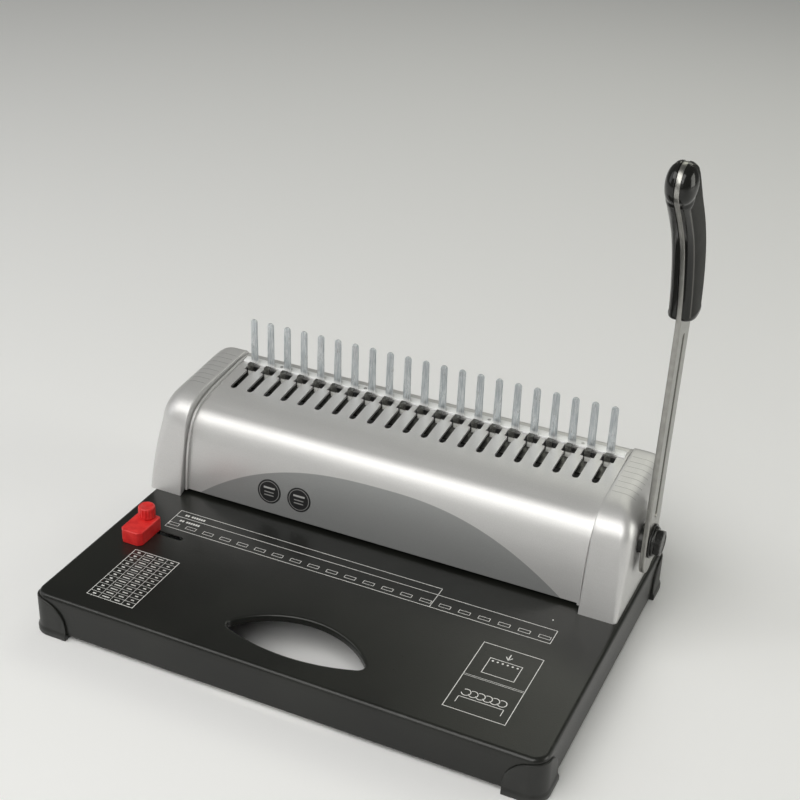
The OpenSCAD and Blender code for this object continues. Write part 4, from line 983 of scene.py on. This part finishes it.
def makeLever(k):
    low = np.array(k["rows"])  # below the grips the bar has even sides
    high = np.linspace(gripLook["from"], leverLong, 40)
    s = np.concatenate([low, high])
    half = np.concatenate([0 * low + k["half"], gripHalf(high) - k["sunk"]])
    at, ahead, aside = leverMiddle(s)
    tipAngle = math.degrees(math.atan2(ahead[-1, 1], ahead[-1, 0]))
    knob = arc(at[-1], gripLook["knob"] - k["sunk"], tipAngle + k["tipTurn"], tipAngle - k["tipTurn"], 16)
    foot = np.array(k["shaft"]) - (k["tail"] - k["half"]) * ahead[0]
    tail = arc(foot, k["half"], -k["lean"], -180 - k["lean"], 24)
    loop = np.vstack([at - aside * half[:, None], knob, (at + aside * half[:, None])[::-1], tail])[::-1]
    c, inner, outer = k["edge"], k["inner"], k["outer"]
    rows = [(inner, c), (inner + 0.3 * c, 0.3 * c), (inner + c, 0), (outer - c, 0),
            (outer - 0.3 * c, 0.3 * c), (outer, c)]
    shell = Shell()
    shell.grid(np.stack([headPath(u, grow(loop, -i)) for u, i in rows]), roundCols=True)
    g, deep = k["grooveHalf"], k["grooveDeep"]
    ends = leverMiddle(np.array([k["grooveFrom"] + g, k["grooveTo"] - g]))[0]
    groove = np.vstack([arc(ends[0], g, 180 - k["lean"], 360 - k["lean"], 14),
                        arc(ends[1], g, -k["lean"], 180 - k["lean"], 14)])
    flat = grow(loop, -c)
    shell.plate(flat, [groove], lambda x, y: headPoint(outer, x, y))
    shell.plate(flat, [], lambda x, y: headPoint(inner, x, y))
    walls = k["grooveWall"]  # inset and share of the depth
    shell.grid(np.stack([headPath(outer - deep * q, grow(groove, -i)) for i, q in walls]), roundCols=True)
    shell.fill(grow(groove, -walls[-1][0]), [], lambda x, y: headPoint(outer - deep, x, y))
    shell.piece("leverBar", "lever", "lever_steel", ["lever_bar"], sharp=50)


makeLever(leverLook)


def makeGrip(name, node, face, side):  # half a rounded section along the lever's line, closed on the bar
    k, n = gripLook, 96
    start, foot = k["from"], k["footRound"]
    a, b = quarter(7)[:-1], np.radians(np.linspace(0, k["tipTurn"], 13))[1:]
    s = np.concatenate([start + foot * (1 - np.cos(a)), np.linspace(start + foot, leverLong, n),
                        leverLong + k["knob"] * np.sin(b)])[:, None]
    swing = np.radians(k["footTurn"]) + a * (90 - k["footTurn"]) / 90
    close = np.concatenate([np.sin(swing), np.ones(n), np.cos(b)])[:, None]
    bulb = smooth((s - k["bulbFrom"]) / k["bulbLong"])  # 0 on the body, 1 on the knob
    crease = 1 - k["creaseDeep"] * np.exp(-((s - k["crease"]) / k["creaseWide"]) ** 2)
    least, more = k["closeBend"]
    deep = k["deep"] * (1 - k["bodyFlat"] + k["bodyFlat"] * bulb) * close ** (least + more * bulb) * crease
    half = gripHalf(np.minimum(s, leverLong)) * close * crease
    power = 2 / (k["power"] + (2.0 - k["power"]) * bulb)  # boxy along the body, round at the knob
    t = np.linspace(0, np.pi, 81)[None]
    across = np.sign(np.cos(t)) * np.abs(np.cos(t)) ** power
    out = np.sin(t) ** power
    panel = smooth((k["panelWide"] - np.abs(across)) / k["panelSide"])
    panel = panel * smooth((gripEnd(across) - s) / k["panelFall"])
    panel = panel * smooth((s - k["panelFrom"]) / k["panelRise"])
    at, _, aside = leverMiddle(s[:, 0])
    plane = at[:, None] + aside[:, None] * (half * across)[..., None]
    shell = Shell()
    shell.tube(headPath(face + side * (deep * out - k["panelDeep"] * panel), plane), along=s + 0 * t,
               across=across)
    shell.piece(name, "lever", "grip_plastic", [node], sharp=60)


makeGrip("innerGrip", "inner_grip", leverLook["inner"], -1)
makeGrip("outerGrip", "outer_grip", leverLook["outer"], 1)
print("lever and grips shaped")

# lever bolt: a flanged hexagon with a chamfered, dished head
boltLook = {"from": 192.2, "flange": 10.5, "flangeThick": 1.8, "hex": 8.4, "head": 9.7, "high": 6.4,
            "shank": 4.0, "root": 174.8, "dishRim": 3.6, "dish": 0.35, "hexFrom": 0.2,
            "flangeFoot": ((-0.3, 0), (0, 0.3)), "flangeTop": ((0, -0.7), (-0.5, -0.2)),
            "neck": ((0.25, 0.1), (0, 0.4)),
            "crown": ((0, -1.3), (-0.4, -0.7), (-1.4, -0.15), (-2.0, 0), (-3.1, 0))}


def makeBolt(k):
    f, z, r, top, dish = (k[key] for key in ("flange", "flangeThick", "head", "high", "dish"))
    body = [(k["shank"], k["root"] - k["from"]), (k["shank"], 0), *steps(f, 0, k["flangeFoot"]),
            *steps(f, z, k["flangeTop"])]
    head = [*steps(r, z, k["neck"]), *steps(r, top, k["crown"]), (r - k["dishRim"], top - dish),
            (pinhole, top - dish)]

    def hexagon(t, r, z):  # flats cut the round head at the hexagon's half width
        flat = k["hex"] / np.cos((t + np.pi / 6) % (np.pi / 3) - np.pi / 6)
        return np.where(z > k["flangeThick"] + k["hexFrom"], np.minimum(r, flat), r * np.ones_like(t))

    shell = Shell()
    shell.tube(turnedRings(body + head, 72, "x", headPoint(k["from"], *leverLook["shaft"]), hexagon))
    shell.piece("leverBolt", "lever", "dark_fastener", ["lever_bolt"], sharp=28)


makeBolt(boltLook)
print("bolt turned")

# edge stop: a red block with cut front corners, and a fluted knob over it
stopLook = {"x": (-169.75, -152.05), "y": (-50.4, -23.4), "foot": 32.05, "top": 42.7, "cut": 3.0,
            "corner": 2.0, "edge": 1.0, "ease": 0.3}
knobLook = {"at": (-160.9, -28.2), "r": 6.2, "from": 42.72, "to": 52.0, "flutes": 16, "deep": 0.45,
            "foot": ((-0.9, 0), (-0.5, 0.3), (-0.4, 0.9), (0, 1.5)), "side": (1.8, 1.5), "dish": 0.45,
            "crown": ((-0.15, -0.9), (-0.6, -0.3), (-1.2, 0), (-2.0, 0), (-2.5, -0.4)),
            "fluteEnds": (1.2, 0.6), "fluteFade": 0.8, "fluteRim": 0.7}


def flatAt(z):
    return lambda x, y: np.stack([x, y, 0 * x + z], -1)


def makeStop(k):
    (x0, x1), (y0, y1), c = k["x"], k["y"], k["cut"]
    corners = [(x0 + c, y0), (x1 - c, y0), (x1, y0 + c), (x1, y1), (x0, y1), (x0, y0 + c)]
    loop = roundedLoop(corners, k["corner"], 5)
    e, low, foot, top = k["edge"], k["ease"], k["foot"], k["top"]
    rows = [(foot, low), (foot + low, 0)]
    rows += [(top - e * (1 - math.sin(t)), e * (1 - math.cos(t))) for t in quarter(6)]
    shell = Shell()
    shell.grid(np.stack([flatAt(z)(*grow(loop, -i).T) for z, i in rows]), roundCols=True)
    shell.plate(grow(loop, -e), [], flatAt(top))
    shell.fill(grow(loop, -low), [], flatAt(foot))
    shell.piece("edgeStop", "edge_stop", "stop_plastic", ["edge_stop"])


def makeKnob(k):
    r, low, high = k["r"], k["from"], k["to"]
    (start, end), (first, last), fade = k["side"], k["fluteEnds"], k["fluteFade"]
    profile = [(pinhole, low), *steps(r, low, k["foot"])]
    profile += [(r, z) for z in np.linspace(low + start, high - end, 6)]
    profile += [*steps(r, high, k["crown"]), (pinhole, high - k["dish"])]

    def fluted(t, q, z):  # the grip's side rolls in and out round the knob
        band = smooth((z - low - first) / fade) * smooth((high - last - z) / fade)
        band = band * (q > r - k["fluteRim"])
        return q - band * k["deep"] * (0.5 - 0.5 * np.cos(k["flutes"] * t))

    shell = Shell()
    shell.tube(turnedRings(profile, 160, "z", (*k["at"], 0), fluted))
    shell.piece("stopKnob", "stop_knob", "stop_plastic", ["stop_knob"], sharp=50)


makeStop(stopLook)
makeKnob(knobLook)
print("edge stop moulded")

# badges: two thin round labels that follow the cover's front
badgeLook = {"places": (-85.3, -60.8), "high": 20.0, "r": 9.5, "proud": 0.25,
             "profile": ((1.0, 0.0), (1.0, 0.7), (0.98, 0.95), (0.95, 1.0), (0.7, 1.0), (0.4, 1.0),
                         (0.02, 1.0))}


def makeBadges(k):
    run = along(coverRise)
    zero = np.interp(k["high"], coverRise[:, 1], run)
    out = outward(coverRise)
    out[0] = out[1]
    profile = np.array(k["profile"])  # shares of the radius and of the height
    t = fullTurn(48)[None]
    across, up = profile[:, :1] * np.cos(t), profile[:, :1] * np.sin(t)
    at = zero + k["r"] * up
    spot, face = (np.stack([np.interp(at, run, line[:, c]) for c in (0, 1)], -1)
                  for line in (coverRise, out))
    spot = spot + face * (k["proud"] * profile[:, 1])[:, None, None]
    shell = Shell()
    for u in k["places"]:
        shell.tube(headPath(u + k["r"] * across, spot), across=across, upright=up)
    shell.piece("coverBadges", "machine", "silver_plastic", finish=inkBadge, sharp=60)


makeBadges(badgeLook)

# tick lines across the cap tops, laid on their rounded skin
tickLook = {"from": 44.0, "step": 6.5, "count": 8, "start": 159.0, "reach": 34, "line": 0.35, "over": 0.04,
            "topFrom": 1}


def makeTicks(k):
    shell = Shell()
    rows = [(np.full(len(capPath), k["start"]), capPath)]
    rows += [capSkin(t, 1) for t in np.radians(np.linspace(0, k["reach"], 9))]  # the same on both caps
    d, h = capPath.T
    top = (h > capLook["shoulder"][1] - k["topFrom"]) & (d <= capLook["rear"] - capLook["rearRound"])
    skin = np.stack([np.column_stack([u, p + capOut * k["over"]])[top] for u, p in rows])
    for middle in k["from"] + k["step"] * np.arange(k["count"]):
        ends = np.array((middle - k["line"] / 2, middle + k["line"] / 2))
        band = np.stack([[np.interp(ends, row[:, 1], row[:, c]) for c in (0, 1, 2)] for row in skin])
        for side in (-1, 1):
            shell.grid(headPoint(side * band[:, 0], band[:, 1], band[:, 2]), flip=side > 0)
    shell.piece("capTicks", "machine", "silver_plastic", finish=inkGrey, closed=False)


makeTicks(tickLook)

# printing on the base: thin white ribbons, with plain generic marks
printLook = {"line": 0.5, "fine": 0.3, "over": 32.03,
             "strip": (-152.45, -18.95, 143.45, -4.05), "backLine": 3.55, "cross": 57.15,
             "rowMiddle": -4.95, "rowY": -13.95, "mark": (8.0, 3.0, 0.4),
             "table": (-153.95, -111.95, -117.85, -53.95), "tableRows": 12, "tableCols": 4,
             "cell": (1.2, 0.8), "cellLine": (1.2, 0.9, 0.9, 0.9), "dot": (136.6, 5.96, 0.55),
             "captions": ((-146.5, -0.6), (-146.5, -8.2)), "bar": (1.5, 2.1),
             "barStarts": (0, 2.0, *(5.4 + 1.95 * np.arange(6)))}
# two generic drawings: a sheet with holes and an arrow into it, and open rings over a page edge
drawLook = {"frame": (104.45, -105.95, 145.75, -36.85), "divide": (-72.9, -71.7), "count": 6,
            "sheet": (11.0, -66.0, -50.0, 0.5), "holes": (8.5, -52.4, 0.75), "shaft": (-47.5, -41.5, 0.8),
            "barb": (2.2, -44.5, -47.6, 0.7), "rings": (12.0, -88.5, 3.0, 0.6), "ringTurn": (200, 520),
            "page": (15.0, -99.5, -93.5, 0.5)}


class Ribbon:
    def __init__(self, look):
        self.shell, self.z, self.wide = Shell(), look["over"], look["line"]

    def strip(self, points, shut=False, wide=None):  # even band along a line of points
        p = np.asarray(points, float)
        half = (wide or self.wide) / 2
        if shut:
            sides = np.stack([grow(p, half), grow(p, -half)])
        else:
            side = -leftOf(unit(np.gradient(p, axis=0))) * half
            sides = np.stack([p + side, p - side])
        self.shell.grid(flatAt(self.z)(sides[..., 0], sides[..., 1]), roundCols=shut)

    def box(self, x0, y0, x1, y1, wide=None):
        self.strip(oblong(x0, y0, x1, y1), True, wide)

    def dash(self, x0, x1, y, wide=None):
        self.strip([(x0, y), (x1, y)], False, wide)

    def rule(self, x, y0, y1, wide=None):
        self.strip([(x, y0), (x, y1)], False, wide)

    def dot(self, x, y, r, n=24):
        self.shell.put(flatAt(self.z)(*ring(x, y, r, n).T), [list(range(n))])


def printStrip(pen, k):  # the sheet's edge lines and the row of slots
    x0, y0, x1, y1 = k["strip"]
    pen.dash(x0, x1, y0)
    pen.dash(x0, x1, y1)
    pen.dash(x0, k["cross"], k["backLine"])
    pen.rule(x0, y0, k["backLine"])
    pen.rule(x1, y0, y1)
    pen.rule(k["cross"], y0, k["backLine"])
    wide, high, line = k["mark"]
    for x in k["rowMiddle"] + slotPlaces:
        pen.box(x - wide / 2, k["rowY"] - high / 2, x + wide / 2, k["rowY"] + high / 2, line)


def printTable(pen, k):  # ruled cells, each with a bar whose length goes by its column
    x0, y0, x1, y1 = k["table"]
    pen.box(x0, y0, x1, y1)
    ys = np.linspace(y0, y1, k["tableRows"] + 1)
    xs = np.linspace(x0, x1, k["tableCols"] + 1)
    for y in ys[1:-1]:
        pen.dash(x0, x1, y, k["fine"])
    for x in xs[1:-1]:
        pen.rule(x, y0, y1, k["fine"])
    least, step = k["cell"]
    for y in (ys[1:] + ys[:-1]) / 2:
        for col, x in enumerate((xs[1:] + xs[:-1]) / 2):
            half = least + step * (col * 2 % 3)
            pen.dash(x - half, x + half, y, k["cellLine"][col])


def printDrawings(pen, k, fine):
    x0, y0, x1, y1 = k["frame"]
    pen.box(x0, y0, x1, y1)
    for y in k["divide"]:
        pen.dash(x0, x1, y, fine)
    mid = (x0 + x1) / 2
    half, low, high, line = k["sheet"]
    pen.box(mid - half, low, mid + half, high, line)
    half, y, r = k["holes"]
    for x in np.linspace(mid - half, mid + half, k["count"]):
        pen.dot(x, y, r)
    pen.rule(mid, *k["shaft"])
    half, high, low, line = k["barb"]
    pen.strip([(mid - half, high), (mid, low), (mid + half, high)], False, line)
    half, y, r, line = k["rings"]
    for x in np.linspace(mid - half, mid + half, k["count"]):
        pen.strip(arc((x, y), r, *k["ringTurn"], 20)[:-2], False, line)
    half, low, high, line = k["page"]
    pen.dash(mid - half, mid + half, high, line)
    for x in (mid - half, mid + half):
        pen.rule(x, low, high, line)


def printCaptions(pen, k):  # rows of short bars where captions would stand
    long, thick = k["bar"]
    for x, y in k["captions"]:
        for start in k["barStarts"]:
            pen.dash(x + start, x + start + long, y, thick)


def makePrint(k):
    pen = Ribbon(k)
    printStrip(pen, k)
    printTable(pen, k)
    printDrawings(pen, drawLook, k["fine"])
    pen.dot(*k["dot"])
    printCaptions(pen, k)
    pen.shell.piece("panelPrint", "machine", "base_paint", finish=inkWhite, closed=False)


makePrint(printLook)
print("printing laid")

# screws at the rear: pan heads with a cross recess
screwLook = {"places": (-125.2, -45.4, 45.4, 125.2), "up": 9, "from": 106.5, "head": 3.55, "high": 2.15,
             "rim": 0.35, "under": 0.1, "domeTurn": 89, "shank": 2.0, "long": 6.0, "cross": (0.55, 2.3),
             "soft": 0.12, "deep": 1.2, "recessFrom": 0.5}


def makeScrews(k):
    t = fullTurn(64)[None]
    dome = [(k["head"] * math.cos(a), k["high"] * (k["rim"] + (1 - k["rim"]) * math.sin(a)))
            for a in np.radians(np.linspace(0, k["domeTurn"], 26))]
    profile = np.array([(k["shank"], -k["long"]), (k["shank"], 0), (k["head"] - k["under"], 0), *dome])
    x, y = profile[:, :1] * np.cos(t), profile[:, :1] * np.sin(t)
    arm, long = k["cross"]

    def within(v, half):
        return smooth((half + k["soft"] - np.abs(v)) / (2 * k["soft"]))

    recess = np.maximum(within(x, arm) * within(y, long), within(y, arm) * within(x, long))
    recess = recess * (profile[:, 1:] > k["recessFrom"])  # only in the dome
    out = k["from"] + profile[:, 1:] - recess * k["deep"]
    shell = Shell()
    for u in k["places"]:
        shell.tube(headPoint(u + x, out, k["up"] + y))
    shell.piece("coverScrews", "machine", "dark_fastener", ["cover_screws"])


makeScrews(screwLook)

# return springs: round wire wound in a helix with closed end turns
springLook = {"u": (-153.175, 153.175), "d": 41.0, "from": 43.5, "to": 60.45, "r": 4.2, "wire": 0.48,
              "turns": 6, "steps": 40, "flatten": 0.030}


def makeSprings(k):
    share = np.linspace(0, 1, k["turns"] * k["steps"] + 1)
    turn = share * k["turns"] * 2 * np.pi
    climb = share - k["flatten"] * np.sin(2 * np.pi * share)
    high = k["from"] + climb * (k["to"] - k["from"])
    centre = np.stack([k["r"] * np.cos(turn), k["r"] * np.sin(turn), high], -1)
    side = np.stack([np.cos(turn), np.sin(turn), 0 * turn], -1)
    over = np.cross(unit(np.gradient(centre, axis=0)), side)
    a = fullTurn(10)[None, :, None]
    wire = centre[:, None] + k["wire"] * (np.cos(a) * side[:, None] + np.sin(a) * over[:, None])
    shell = Shell()
    for u in k["u"]:
        shell.tube(wire + (u + place["headX"], k["d"] + place["headY"], 0))
    made = shell.piece("returnSprings", "machine", "plain_steel", ["return_springs"])
    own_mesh(made)


makeSprings(springLook)
print("screws and springs wound")

# solids kept from the frame that show: edges eased by a width each, faces cleaned
cleanAngle, softAngle = 0.6, 30
softLook = {"rake": 0.25, "chip_tray": 0.5, "lever_washer": 0.3, "lever_sleeve": 0.4, "comb_rivets": 0.2,
            "drive_shaft": 0.4}


def softenSolid(solid, width):
    weld = solid.modifiers.new("weld", "WELD")
    weld.merge_threshold = weldGap
    clean = solid.modifiers.new("clean", "DECIMATE")
    clean.decimate_type, clean.angle_limit = "DISSOLVE", math.radians(cleanAngle)
    roundEdges(solid, width, softAngle)


for node, width in softLook.items():
    softenSolid(nodes[node], width)
nodes["rake"].data.materials[0] = rakeZinc.material
# the lever's sleeve and washer take the dark screw finish as painted shade in the gap between the lever and
# the right cap
for node in ("lever_washer", "lever_sleeve"):
    nodes[node].data.materials[0] = finishes["dark_fastener"].material
print("kept solids eased")
